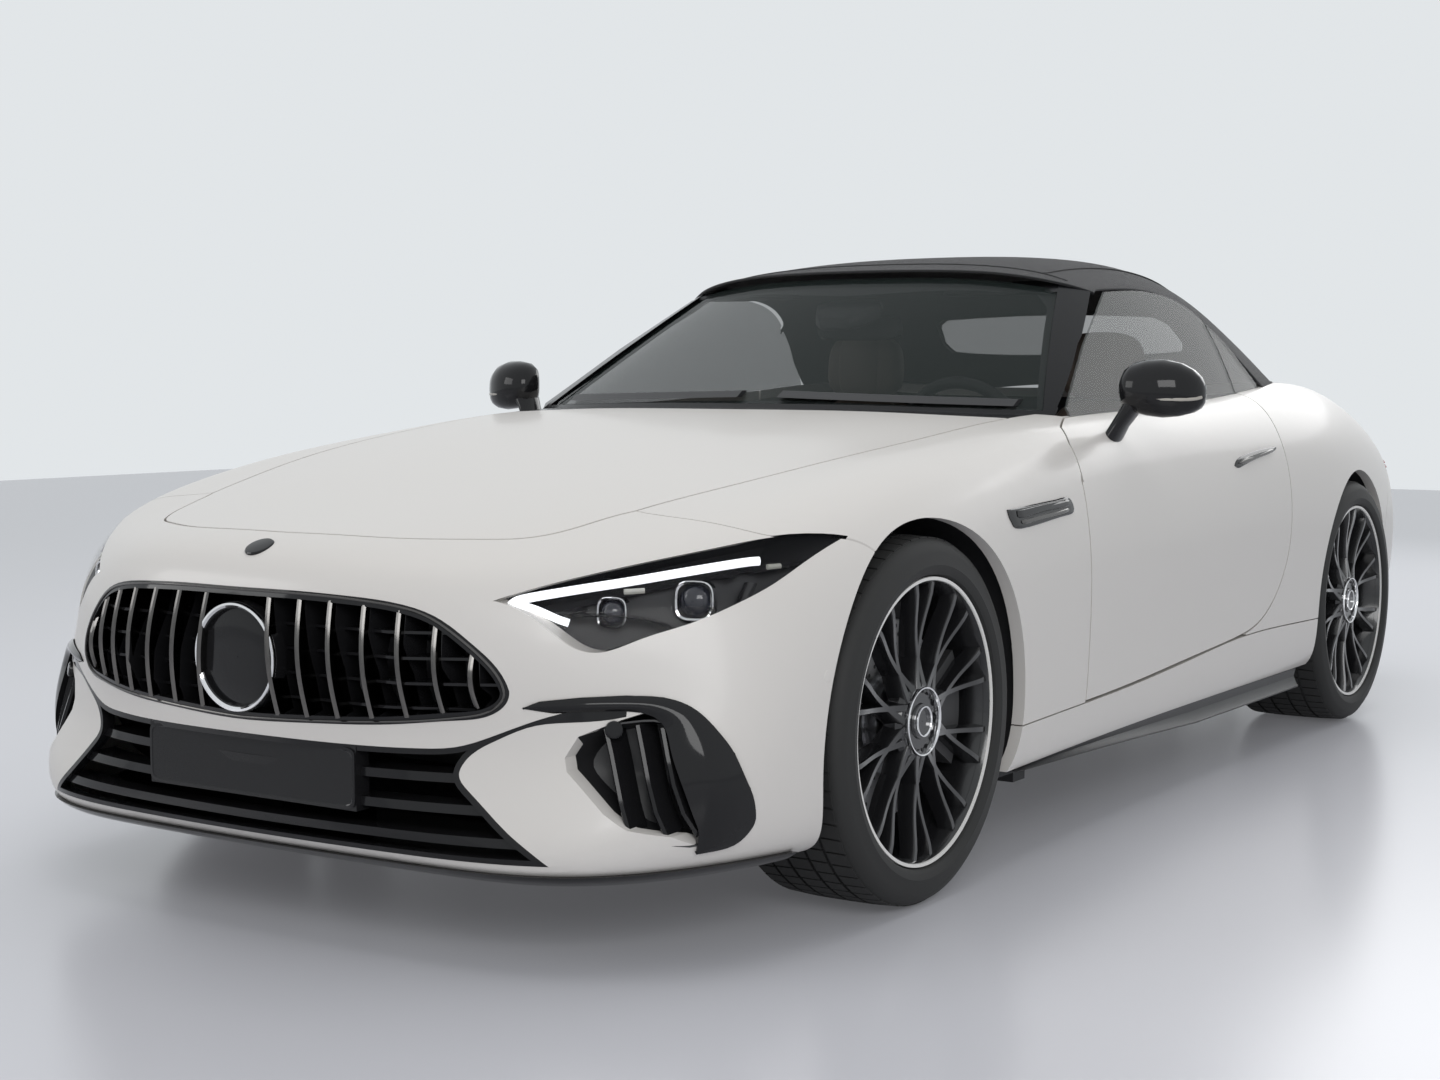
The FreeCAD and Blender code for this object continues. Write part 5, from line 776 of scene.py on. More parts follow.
# %% Light guide, projectors and markers
GUIDE = ((146, 512, 650), (153, 537, 652), (210, 610, 672), (280, 680, 689), (370, 752, 703), (450, 806, 711),
         (478, 822, 712))
GUIDE_LEG = ((149, 520, 648), (160, 560, 632), (176, 596, 616), (186, 614, 609))
SHELF = ((215, 600, 618), (290, 690, 610), (380, 770, 622), (460, 820, 650))
PROJECTORS = ((350, 771, 648, 0.034), (241, 668, 630, 0.026))
FRAME_ROWS = ((-0.020, 1.06), (0.004, 1.06), (0.006, 1.0), (0.004, 0.90), (-0.020, 0.90))
MARKERS = (((268, 672, 661), (292, 700, 663)), ((484, 834, 697), (508, 848, 699)))


def under_lens(corners, sunk):
    """Points under the lamp's skin."""
    spots = [surface(lamp_skin, at(*corner), LAMP_OUTWARD) for corner in corners]
    return [place - normal * sunk for place, normal in spots]


def lamp_tube(corners, sunk, *section):
    """A smooth tube under the lamp's skin."""
    return sweep(smooth_path(under_lens(corners, sunk), 5), round_section(*section))


frames, domes = [], []
aim = (FORWARD * 0.93 + LEFT * 0.30 + UP * 0.05).normalized()
turned = aim.to_track_quat("Y", "Z").to_matrix().to_4x4()
for station, side, height, reach in PROJECTORS:
    placing = Matrix.Translation(under_lens([(station, side, height)], 0.030)[0]) @ turned
    section = round_section(reach * 2, reach * 2, 28, 0.62)
    frames.append(moved(placing, rings_shape([[Vector((a * size, along, b * size)) for a, b in section]
                                              for along, size in FRAME_ROWS], True)))
    dome = [(0.001, 0.012), (reach * 0.35, 0.0105), (reach * 0.62, 0.006), (reach * 0.84, -0.003),
            (reach * 0.88, -0.012), (0.001, -0.012)]
    domes.append(moved(placing, lathe(dome, 32)))
markers = [sweep(under_lens(ends, 0.014), round_section(0.010, 0.010, 8, 0.8)) for ends in MARKERS]
guides = [lamp_tube(GUIDE, 0.016, 0.012, 0.016, 8, 0.7), lamp_tube(GUIDE_LEG, 0.016, 0.012, 0.014, 8, 0.7)]
shelf = lamp_tube(SHELF, 0.030, 0.030, 0.006, 8, 0.7)
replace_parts(show_both(lens)[0], "headlamps")
show_both(bowl)
for name, shape, material in (("light_guide_left", joined(guides), light_white),
                              ("projector_frames_left", joined(frames), bright_chrome),
                              ("projector_lenses_left", joined(domes), projector_glass),
                              ("lamp_markers_left", joined(markers), marker_glass),
                              ("lamp_shelf_left", shelf, gloss_black)):
    show_both(mesh_of(name, shape, material))

# %% [markdown]
# ## Grille
# Fourteen upright bars bow forward in front of a black grid, inside a black frame
# with a thin bright line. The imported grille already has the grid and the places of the
# bars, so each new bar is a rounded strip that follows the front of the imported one:
# rays from the front find its surface. A ring with a plain disc fills the middle.

# %% Bars
HALF_WIDTH = 957.5
HEIGHT = 1359.0
BAR_ENDS = ((81.5, 99), (157.5, 173.5), (228.5, 246.5), (299.5, 316.5), (366.5, 382), (432.5, 446),
            (497, 504.5))
BAR_BOW = 0.016
BAR_STEPS = 14
BAR_INSET = 0.012
BAR_SECTION = [(-0.0050, -0.034), (0.0050, -0.034), (0.0062, -0.004), (0.0052, 0.0025), (0.0024, 0.0055),
               (-0.0024, 0.0055), (-0.0052, 0.0025), (-0.0062, -0.004)]
GRILLE_TOP = ((0, 478.5), (144, 478.5), (264, 475.5), (368.5, 467.5), (435.5, 452), (499, 419.5),
              (544, 386.5), (561, 360.5))
GRILLE_FOOT = ((561, 360.5), (555.5, 344.5), (528.5, 329), (467, 321), (366.5, 313.5), (177.5, 306),
               (0, 301.5))
NOSE_START = HALF_LENGTH + 0.2
grille_skin = skin_tree("grille")
nose_skin = skin_tree("grille", "front_bumper")


def front_point(share_side, share_height):
    """Side and height in metres from thousandths of half the width and of the height."""
    return share_side * HALF_WIDTH / 1e6, share_height * HEIGHT / 1e6


def outline_height(line, side):
    """Height of an outline above a place across the car."""
    for (y0, z0), (y1, z1) in zip(line, line[1:]):
        if min(y0, y1) <= side <= max(y0, y1):
            return z0 + (z1 - z0) * (side - y0) / (y1 - y0)
    return line[-1][1]


def from_front(skin, side, height):
    """The point where a ray from the front meets the skin."""
    return Vector((hit(skin, Vector((NOSE_START, side, height)), -FORWARD).x, side, height))


top_line = [front_point(*share) for share in GRILLE_TOP]
foot_line = [front_point(*share) for share in GRILLE_FOOT]
bar_shapes = []
for shares in BAR_ENDS:
    top_side, foot_side = (share * HALF_WIDTH / 1e6 for share in shares)
    high = outline_height(top_line, top_side) - BAR_INSET
    low = outline_height(foot_line, foot_side) + BAR_INSET
    steps = [row / BAR_STEPS for row in range(BAR_STEPS + 1)]
    path = [from_front(grille_skin, top_side + (foot_side - top_side) * t, high + (low - high) * t)
            for t in steps]
    foremost = sorted(point.x for point in path)[-3]
    top_reach = min(max(path[1].x, path[2].x), foremost)
    foot_reach = min(max(path[-2].x, path[-3].x), foremost)
    for t, point in zip(steps, path):
        point.x = top_reach + (foot_reach - top_reach) * t + BAR_BOW * math.sin(math.pi * t)
    bar_shapes.append(sweep(path, BAR_SECTION, upward=FORWARD))
show_both(mesh_of("grille_bars_left", joined(bar_shapes), dark_chrome))

# %% Frame line and emblem
FRAME_MIDDLE = 0.530
frame_path = smooth_path([Vector((0, *point)) for point in top_line + foot_line[1:]], 6)
frame_path += [Vector((0, -point.y, point.z)) for point in reversed(frame_path[1:-1])]
on_frame = [from_front(nose_skin, point.y * 0.985, FRAME_MIDDLE + (point.z - FRAME_MIDDLE) * 0.965)
            for point in frame_path]
for _ in range(2):
    on_frame = [(before + 2 * point + after) / 4 for before, point, after in
                zip(on_frame[-1:] + on_frame, on_frame, on_frame[1:] + on_frame[:1])]
show(mesh_of("grille_frame_line", sweep(on_frame, round_section(0.005, 0.007, 8), FORWARD, closed=True),
             dark_chrome))

EMBLEM = Vector((HALF_LENGTH - 0.002, 0, 0.523))
EMBLEM_RING = ((0.1005, -0.020), (0.1005, 0.002), (0.0985, 0.006), (0.0945, 0.0065), (0.0910, 0.003),
               (0.0895, -0.006), (0.0895, -0.020))
EMBLEM_DISC = ((0.001, -0.004), (0.040, -0.0044), (0.078, -0.0062), (0.0893, -0.008), (0.0893, -0.019),
               (0.001, -0.019))
towards_nose = Matrix.Translation(EMBLEM) @ Matrix.Rotation(-math.pi / 2, 4, "Z")
for name, profile, material in (("emblem_ring", EMBLEM_RING, bright_chrome),
                                ("emblem_disc", EMBLEM_DISC, gloss_black)):
    show(mesh_of(name, moved(towards_nose, lathe(profile)), material))

# %% [markdown]
# ## Round sensors and the bonnet badge
# Small round discs: parking sensors in the bumper and a plain badge above the grille.
# Each lies on the skin, so its place and tilt come from the skin's own normal.

# %% Discs on the skin
body_skin = skin_tree("front_bumper", "wings", "door_left", "quarter_panels", "rear_bumper", "side_intakes",
                      "bonnet")


def skin_disc(name, tree, place, radius, material, height=0.003):
    """A shallow domed disc on the skin at a station, side and height."""
    spot, normal = surface(tree, at(*place))
    profile = [(0.0001, height), (radius * 0.75, height * 0.95), (radius * 0.93, height * 0.7), (radius, 0),
               (radius, -0.004), (0.0001, -0.004)]
    standing = Matrix.Translation(spot) @ normal.to_track_quat("Y", "Z").to_matrix().to_4x4()
    return mesh_of(name, moved(standing, lathe(profile, 40)), material)


show(skin_disc("bonnet_badge", skin_tree("front_bumper"), (65, 0, 719), 0.028, gloss_black))
show_both(skin_disc("side_sensor", body_skin, (539, 923, 496), 0.011, paint, 0.001))
show_both(skin_disc("intake_sensor", skin_tree("side_intakes"), (210, 693, 412), 0.016, gloss_black, 0.008))

# %% [markdown]
# ## Wing vents and door handles
# The vent behind each front wheel is a slim dark blade in a shallow frame. The handle
# lies nearly flush in the door, a dark bright-edged bar. Both outlines are loops of
# points on the skin. The loop is filled towards its middle and given a thickness.

# %% Pads on the skin
side_skin = skin_tree("door_left", "wings", "quarter_panels")


def skin_pad(name, outline, lift, material, crown=0.002):
    """A thin raised pad: an outline on the skin, a shoulder and a crowned top."""
    spots = [surface(side_skin, at(*point))[0] for point in (*outline, outline[0])]
    corners = smooth_path(spots, 4)[:-1]
    count = len(corners)
    middle = sum(corners, Vector()) / count
    normal = surface(side_skin, middle, LEFT)[1]
    rows = ((1.0, -0.004), (1.0, lift), (0.91, lift + crown * 0.7), (0.82, lift + crown))
    points, faces = rings_shape([[middle + (corner - middle) * scale + normal * height for corner in corners]
                                 for scale, height in rows])
    points.append(middle + normal * (lift + crown))
    top_ring = faces.pop()
    faces += [(*pair, len(points) - 1) for pair in zip(top_ring, top_ring[1:] + top_ring[:1])]
    return mesh_of(name, (points, faces), material)


VENT = ((1261, 920, 753), (1382, 917, 757), (1500, 914, 761), (1586, 912, 762), (1599, 918, 731),
        (1519, 924, 724), (1309, 929, 712), (1267, 927, 729))
VENT_SLAT = ((1300, 921, 748), (1450, 917, 755), (1572, 914, 757), (1566, 918, 744), (1440, 921, 740),
             (1310, 924, 733))
VENT_LOW = ((1310, 925, 728), (1440, 922, 735), (1560, 918, 740), (1548, 921, 731), (1430, 925, 726),
            (1325, 927, 720))
HANDLE = ((2634, 905, 793), (2660, 900, 807), (2720, 898, 817), (2830, 897, 827), (2953, 903, 832),
          (2921, 906, 819), (2800, 907, 806), (2710, 907, 793), (2660, 906, 786))
HANDLE_BAR = ((2655, 903, 797), (2700, 900, 808), (2800, 899, 818), (2915, 902, 826), (2895, 904, 817),
              (2790, 906, 806), (2700, 906, 795))
show_both(skin_pad("wing_vent_left", VENT, 0.002, gloss_black))
show_both(skin_pad("vent_slat_left", VENT_SLAT, 0.0055, gloss_black))
show_both(skin_pad("vent_low_slat_left", VENT_LOW, 0.0055, dark_chrome))
show_both(skin_pad("handle_recess_left", HANDLE, 0.001, gloss_black), "door_left")
show_both(skin_pad("handle_bar_left", HANDLE_BAR, 0.006, dark_chrome, 0.003), "door_left")

# %% [markdown]
# ## Soft top
# One woven cloth is stretched over the roof bows, from the screen to the deck cover,
# with the rear window let into it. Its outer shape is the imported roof's own skin, so a
# patch of that skin becomes a thin closed cloth. Sewn seams, a welt round the edge and
# the frame of the rear window are narrow strips that follow the cloth.

# %% Roof cloth
CLOTH_THICKNESS = 0.004
SEAM_LIFT = 0.0006
roof_skin = skin_tree("soft_top")
work = skin_patch("soft_top", at(2900, 0, 1360))
cloth_area = sum(face.calc_area() for face in work.faces)
edge_loops = boundary_loops(work)
roof = show(shell_mesh(work, "roof_cloth_sheet", roof_cloth, CLOTH_THICKNESS))
work.free()


# %% Seams and edges
def on_roof(station, side):
    """A point just above the roof cloth."""
    return hit(roof_skin, at(station, side, 1600), -UP) + UP * SEAM_LIFT


strips = []
for side in (-470, 470):
    line = [on_roof(station, side * (1 + (station - 2380) / 9000)) for station in range(2400, 3360, 40)]
    strips.append(sweep(line, round_section(0.014, 0.0032, 8, 0.6)))
for station in (2395, 3340):
    line = [on_roof(station, side) for side in range(-540, 541, 36)]
    strips.append(sweep(line, round_section(0.012, 0.0032, 8, 0.6)))
for loop in edge_loops:
    strips.append(sweep(evened(loop, 0.02), round_section(0.007, 0.007, 8), closed=True))
seams = show(mesh_of("roof_seams", joined(strips), roof_cloth))
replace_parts(roof, "soft_top")

# %% [markdown]
# ## Seats
# The seats are upholstered in smooth leather with cross pleats. A cushion here is a
# closed form swept along a line in the side view, widest in its middle, with a crown
# and grooves where the seams pull it in. One level of subdivision rounds it off, which
# is the simpler way to firm leather pads; cloth simulation suits loose fabric better.

# %% Cushion shape
PAD_ROWS = 40
PAD_STEPS = 20


def pad_shape(path, side, width, thickness, grooves=0, squareness=0.45, end_power=5.0, narrowing=0.0):
    """A closed pad along a side-view path of (station, height), with grooves across it."""
    line = evened(smooth_path([at(station, side, height) for station, height in path], 8), None, PAD_ROWS)
    rings = []
    for row, place in enumerate(line):
        t = row / PAD_ROWS
        along = (line[min(row + 1, PAD_ROWS)] - line[max(row - 1, 0)]).normalized()
        up = along.cross(LEFT).normalized()
        end = max(1 - abs(2 * t - 1) ** end_power, 0.0001) ** (1 / end_power)
        phase = (t * (grooves + 1)) % 1.0
        dent = 1 - 0.11 * math.exp(-(min(phase, 1 - phase) / 0.10) ** 2) if grooves else 1.0
        broad = width * end * (1 - narrowing * t)
        thick = thickness * end * dent
        rings.append([place + LEFT * a * broad + up * b * thick * (1 + 0.14 * (1 - (2 * a) ** 2))
                      for a, b in round_section(1.0, 1.0, PAD_STEPS, squareness)])
    return rings_shape(rings)


def padded_piece(name, shapes):
    """A pad of one or more closed forms, smoothed by subdivision."""
    pad = show(mesh_of(name, joined(shapes), leather))
    smoother = pad.modifiers.new("smooth", "SUBSURF")
    smoother.levels = 1
    smoother.render_levels = 1
    return pad


def shifted(line, back, up=0):
    """A side-view path moved back and up."""
    return [(station + back, height + up) for station, height in line]


# %% Front seats and rear bench
SEAT_MIDDLE = 385
CUSHION_LINE = ((2318, 395), (2380, 415), (2520, 392), (2680, 372), (2780, 372))
BACK_LINE = ((2838, 400), (2872, 520), (2905, 660), (2942, 790), (2985, 905), (3010, 945))
HEAD_LINE = ((2986, 955), (2990, 1010), (2993, 1070), (2996, 1130), (2998, 1146))
REAR_CUSHION = ((3096, 395), (3150, 425), (3300, 412), (3415, 405))
REAR_BACK = ((3425, 470), (3445, 600), (3462, 720), (3468, 770))
for label, middle in (("left", SEAT_MIDDLE), ("right", -SEAT_MIDDLE)):
    cushion = [pad_shape(CUSHION_LINE, middle, 0.330, 0.125, grooves=5)]
    back = [pad_shape(BACK_LINE, middle, 0.300, 0.100, grooves=7, narrowing=0.12),
            pad_shape(shifted(BACK_LINE, 36), middle, 0.430, 0.060, narrowing=0.22)]
    head = [pad_shape(HEAD_LINE, middle, 0.255, 0.095, squareness=0.5, end_power=3.2, narrowing=0.10),
            pad_shape(shifted(HEAD_LINE, -20), middle, 0.150, 0.085, squareness=0.6, end_power=3.2)]
    base = [sweep([at(2350, middle, 272), at(2850, middle, 268)], round_section(0.420, 0.085, 16, 0.4))]
    for outer in (-1, 1):
        cushion.append(pad_shape(shifted(CUSHION_LINE, 6, 16), middle + outer * 205, 0.095, 0.150))
        back.append(pad_shape(shifted(BACK_LINE[:5], -22), middle + outer * 196, 0.092, 0.135, narrowing=0.2))
        rail = middle + outer * 150
        base.append(sweep([at(2330, rail, 205), at(2860, rail, 205)], round_section(0.040, 0.055, 10, 0.5)))
    seat = padded_piece(f"seat_cushion_{label}", cushion)
    padded_piece(f"seat_back_{label}", back)
    padded_piece(f"seat_headrest_{label}", head)
    show(mesh_of(f"seat_base_{label}", joined(base), cabin_trim))
    if label == "left":
        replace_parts(seat, "seats")
for label, side in (("left", 255), ("right", -255)):
    padded_piece(f"rear_seat_{label}", [pad_shape(REAR_CUSHION, side, 0.440, 0.150, grooves=3),
                                        pad_shape(REAR_BACK, side, 0.440, 0.070, grooves=3)])

# %% [markdown]
# ## Door mirrors
# A mirror is a rounded glossy housing on a slim foot, with the glass at its back and a
# clear strip of indicator light across its lower front. The housing is a row of
# D-shaped sections from the inner end to the outer end, the same way as a ship's frames.

# %% Mirror pieces
HOUSING = ((864, 1986, 1000, 6, 6, 8), (868, 1987, 1000, 26, 18, 26), (878, 1990, 1000, 44, 30, 45),
           (898, 1994, 1000, 58, 36, 58), (930, 1999, 999, 64, 38, 65), (965, 2004, 997, 62, 38, 67),
           (1000, 2011, 994, 52, 38, 61), (1025, 2019, 990, 39, 34, 50), (1040, 2027, 987, 25, 28, 37),
           (1047, 2032, 985, 13, 18, 23), (1050, 2035, 984, 4, 6, 8))
MIRROR_FOOT = ((1960, 840, 866, 0.048, 0.024), (1964, 852, 880, 0.046, 0.021), (1972, 866, 908, 0.042, 0.019),
               (1982, 884, 938, 0.042, 0.022), (1990, 902, 964, 0.046, 0.028))
GLASS_MARGIN = 13


def mirror_ring(side, station, height, fore, aft, half_height):
    """One D-shaped section of the housing, round in front and squarer at the back."""
    ring = []
    for turn in turns(32):
        cosine = math.cos(turn)
        power, reach = (0.9, fore) if cosine > 0 else (0.5, aft)
        forward = signed_power(cosine, power) * reach
        up = signed_power(math.sin(turn), 0.8) * half_height
        ring.append(at(station - forward, side, height + up - max(forward, 0) * 0.12))
    return ring


foot_rings = [[at(*place) + Vector((math.cos(turn) * fore, math.sin(turn) * across, 0)) for turn in turns(24)]
              for *place, fore, across in MIRROR_FOOT]
glass = grid_patch([
    [at(station + aft + 2.0 - 0.8 * abs(k) ** 1.2, side, height + k / 4 * (half - GLASS_MARGIN))
     for k in range(-4, 5)] for side, station, height, _, aft, half in HOUSING[3:8]])
strip_line = [at(station - fore * 0.93, side, height - half * 0.36)
              for side, station, height, fore, _, half in HOUSING[5:10]]
housings = show_both(mesh_of("mirror_housing_left", rings_shape([mirror_ring(*row) for row in HOUSING]),
                             gloss_black), "door_left")
for piece, node in zip(housings, ("mirror_left", "mirror_right")):
    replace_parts(piece, node)
show_both(mesh_of("mirror_foot_left", rings_shape(foot_rings), gloss_black), "door_left")
show_both(shell_mesh(glass, "mirror_glass_left", mirror_silver, 0.003), "door_left")
glass.free()
show_both(mesh_of("mirror_indicator_left", sweep(smooth_path(strip_line, 5), round_section(0.006, 0.008, 8)),
                  indicator_glass), "door_left")

# %% [markdown]
# ## Windscreen details
# A windscreen has a black printed border, a camera housing behind its top edge, and the
# inner mirror hanging from it. The border lies just inside the glass: the edge of the
# packed pane's outer skin, sunk by the glass thickness, is carried inwards as a band.

# %% Border, housing and inner mirror
BORDER_WIDTH = 0.030
BORDER_TOP_EXTRA = 0.045
GLASS_DEPTH = 0.0065
screen_skin = skin_tree("windscreen")
work = skin_patch("windscreen", at(2030, 0, 1160))
pane_loop = evened(max(boundary_loops(work), key=len), 0.02)
work.free()
pane_middle = sum(pane_loop, Vector()) / len(pane_loop)
sunk = Vector((-0.5, 0, -0.87)) * GLASS_DEPTH
band_rings = []
for edge in pane_loop:
    top_share = min(max((edge.z - 1.20) / 0.05, 0), 1)
    width = BORDER_WIDTH + BORDER_TOP_EXTRA * top_share
    inner = surface(screen_skin, edge + (pane_middle - edge).normalized() * width)[0]
    band_rings.append([edge + sunk, inner + sunk, inner + sunk * 1.25, edge + sunk * 1.25])
show(mesh_of("windscreen_border", rings_shape(band_rings, True), satin_black))

CAMERA_BOX = ((2268, 1214, 0.05, 0.012), (2262, 1208, 0.15, 0.034), (2215, 1192, 0.20, 0.050),
              (2170, 1172, 0.15, 0.048), (2140, 1158, 0.09, 0.034), (2134, 1154, 0.03, 0.010))
INNER_MIRROR = ((2258, 1150, 0.16, 0.030), (2262, 1150, 0.25, 0.060), (2274, 1150, 0.26, 0.066),
                (2279, 1150, 0.25, 0.060))
INNER_GLASS = ((2279.2, 1150, 0.235, 0.052), (2281.5, 1150, 0.232, 0.050))
for name, rows, material in (("camera_housing", CAMERA_BOX, satin_black),
                             ("inner_mirror", INNER_MIRROR, gloss_black),
                             ("inner_mirror_glass", INNER_GLASS, mirror_silver)):
    show(mesh_of(name, upright_box([(at(s, 0, z), width, height) for s, z, width, height in rows]), material))
stalk = sweep([at(2230, 0, 1196), at(2250, 0, 1172), at(2262, 0, 1156)], round_section(0.022, 0.022, 12))
show(mesh_of("inner_mirror_stalk", stalk, satin_black))
VISOR = ((2322, 1236, 0.30, 0.008), (2330, 1238, 0.34, 0.018), (2440, 1262, 0.34, 0.018),
         (2450, 1264, 0.30, 0.008))
visors = [upright_box([(at(s, side, z), width, height) for s, z, width, height in VISOR], 16, 0.5)
          for side in (-SEAT_MIDDLE, SEAT_MIDDLE)]
show(mesh_of("sun_visors", joined(visors), cabin_trim))

# %% [markdown]
# ## Side intakes
# Each front corner has a glossy blade that sweeps from a point beside the grille over
# and down round a dark opening with slanted vanes. The blade is drawn as two smooth
# lines in the front view. Rays from the front find the nose between its openings, and a
# smooth surface fitted to them carries both lines. Rows of points between the lines
# bulge a little, so that the blade catches the light.

# %% Smooth corner
corner_skin = skin_tree("side_intakes", "front_bumper", "lower_grille")
FIT_SIDES, FIT_HEIGHTS = (0.50, 0.885), (0.19, 0.52)
FIT_COLUMNS, FIT_ROWS, FIT_ROUNDS = 40, 26, 8
FIT_SLACK = 0.004


def corner_terms(side, height):
    """Powers of side and height that the corner's smooth shape is fitted with."""
    a = (side - FIT_SIDES[0]) / (FIT_SIDES[1] - FIT_SIDES[0])
    b = (height - FIT_HEIGHTS[0]) / (FIT_HEIGHTS[1] - FIT_HEIGHTS[0])
    return [a ** i * b ** j for i in range(7) for j in range(4)]


def fitted_corner():
    """Weights of the smooth corner, from rays that meet the skin and not its openings."""
    rows, reaches = [], []
    for side in numpy.linspace(*FIT_SIDES, FIT_COLUMNS):
        for height in numpy.linspace(*FIT_HEIGHTS, FIT_ROWS):
            spot = corner_skin.ray_cast(Vector((NOSE_START, side, height)), -FORWARD)[0]
            if spot is not None:
                rows.append(corner_terms(side, height))
                reaches.append(spot.x)
    rows, reaches = numpy.array(rows), numpy.array(reaches)
    kept = numpy.ones(len(reaches), bool)
    for _ in range(FIT_ROUNDS):
        weights = numpy.linalg.lstsq(rows[kept], reaches[kept], rcond=None)[0]
        short = rows @ weights - reaches
        kept = short < max(FIT_SLACK, 1.2 * numpy.std(short[kept]))
    return weights


corner_weights = fitted_corner()


def on_corner(side, height, back=0.0):
    """A point of the smooth corner, or some way behind it."""
    return Vector((float(numpy.dot(corner_terms(side, height), corner_weights)) - back, side, height))


def front_line(shares, columns):
    """A smooth line in the front view, as even points with x left at zero."""
    return evened(smooth_path([Vector((0, *front_point(*share))) for share in shares], 8), None, columns)


# %% Blade
BLADE_UPPER = ((580.5, 338.5), (608, 347.5), (669.5, 352.5), (734, 354.5), (785.5, 351.5), (825, 339),
               (859.5, 314), (890, 279), (906.5, 232.5), (906.5, 198), (897, 176), (875, 156.5), (843, 152.5))
BLADE_LOWER = ((580.5, 338.5), (628.5, 334.5), (700, 335.5), (755, 333.5), (790, 318), (812, 279), (838, 231),
               (851, 190), (849, 172), (843, 152.5))
BLADE_COLUMNS, BLADE_ROWS = 64, 8
BLADE_WALL = 0.012
outward = (FORWARD * 0.75 + LEFT * 0.65).normalized()
blade_lines = (front_line(shares, BLADE_COLUMNS) for shares in (BLADE_UPPER, BLADE_LOWER))
blade_grid = []
for column, ends in enumerate(zip(*blade_lines)):
    fullness = 0.010 * math.sin(math.pi * column / BLADE_COLUMNS) ** 0.6
    line = []
    for row in range(BLADE_ROWS + 1):
        place = ends[0].lerp(ends[1], row / BLADE_ROWS)
        bulge = 0.004 + fullness * math.sin(math.pi * row / BLADE_ROWS)
        line.append(on_corner(place.y, place.z) + outward * bulge)
    blade_grid.append(line)
work = grid_patch(blade_grid)
bmesh.ops.recalc_face_normals(work, faces=work.faces)
if sum(face.normal.dot(outward) for face in work.faces) < 0:
    bmesh.ops.reverse_faces(work, faces=work.faces)
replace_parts(show_both(shell_mesh(work, "intake_blade_left", gloss_black, BLADE_WALL))[0], "side_intakes")
work.free()

# %% Opening and vanes
HOLE = ((679, 307.5), (735, 317), (790, 316), (811.5, 279.5), (838, 231), (850, 190), (848, 168), (824, 170),
        (766.5, 182), (729, 202), (650, 250), (645, 276.5))
TRAY_ROWS = ((0.0, 1.03), (0.030, 0.99), (0.080, 0.90), (0.084, 0.0005), (0.088, 0.0005), (0.088, 0.95),
             (0.030, 1.045), (0.0, 1.06))
VANES = (((702, 312), (762, 186)), ((748, 316), (812, 174)), ((784, 312), (846, 172)))
VANE_SECTION = ((-0.004, -0.050), (0.004, -0.050), (0.005, 0.002), (0.0, 0.006), (-0.005, 0.002))
hole_edge = [on_corner(point.y, point.z, 0.004) for point in front_line((*HOLE, HOLE[0]), 48)[:-1]]
hole_middle = sum(hole_edge, Vector()) / len(hole_edge)
tray_rings = [[hole_middle + (point - hole_middle) * scale - FORWARD * depth for point in hole_edge]
              for depth, scale in TRAY_ROWS]
show_both(mesh_of("intake_tray_left", rings_shape(tray_rings, True), satin_black))
vanes = []
for top, foot in VANES:
    line = [on_corner(*front_point(*(a + (b - a) * t for a, b in zip(top, foot))), 0.016)
            for t in (0.0, 0.25, 0.5, 0.75, 1.0)]
    vanes.append(sweep(line, VANE_SECTION, upward=FORWARD))
show_both(mesh_of("intake_vanes_left", joined(vanes), gloss_black))

# %% [markdown]
# ## Skirts and number plate
# Under each door runs a dark blade that starts thin behind the front wheel, grows
# towards the rear wheel and ends in a small lip. The plate in the lower intake is a
# blank glossy panel with a raised edge.

# %% Skirts and plate
SKIRT_START, SKIRT_END, SKIRT_STEP = 1336, 3180, 40
SKIRT_TOP = 205
SKIRT_DROP = 52
SKIRT_SECTION = ((-1, 0), (-6, 0.45), (3, 0.86), (8, 0.93), (7, 1.0), (-40, 1.0))
SKIRT_INNER = 804
sill_skin = skin_tree("sills")
skirt_rings = []
for station in range(SKIRT_START, SKIRT_END + 1, SKIRT_STEP):
    t = (station - SKIRT_START) / (SKIRT_END - SKIRT_START)
    sill = hit(sill_skin, at(min(max(station, 1400), 3100), 1200, 214), -LEFT)
    outer = min(sill.y * 1000 - 4, 932)
    drop = SKIRT_DROP * (min(1, 0.12 + 1.5 * t) if t < 0.6 else 1)
    section = [(outer + out, share) for out, share in SKIRT_SECTION] + [(SKIRT_INNER, 0.98), (SKIRT_INNER, 0)]
    skirt_rings.append([at(station, side, SKIRT_TOP - drop * share) for side, share in section])
skirts = show_both(mesh_of("skirt_left", rings_shape(skirt_rings), satin_black))
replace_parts(skirts[0], "side_skirts")


def plate(name, middle, facing, rows):
    """A blank plate of (width, height, out) rows that faces away from the car."""
    shape = upright_box([(middle + facing * out, width, height) for width, height, out in rows], 64, 0.16)
    show(mesh_of(name, shape, gloss_black))


plate("number_plate_blank", at(32, 0, 322), FORWARD, (
    (0.512, 0.108, -0.004), (0.518, 0.114, 0.000), (0.518, 0.114, 0.003), (0.508, 0.104, 0.0035),
    (0.504, 0.100, 0.002), (0.502, 0.098, 0.002)))

# %% [markdown]
# ## Tail
# Below the rear bumper a dark panel carries upright fins and lets the four exhaust
# tips through. The tail lamps get two light guides on their red covers, and the
# rear plate is a blank panel like the front one. Rays from behind find the bumper.

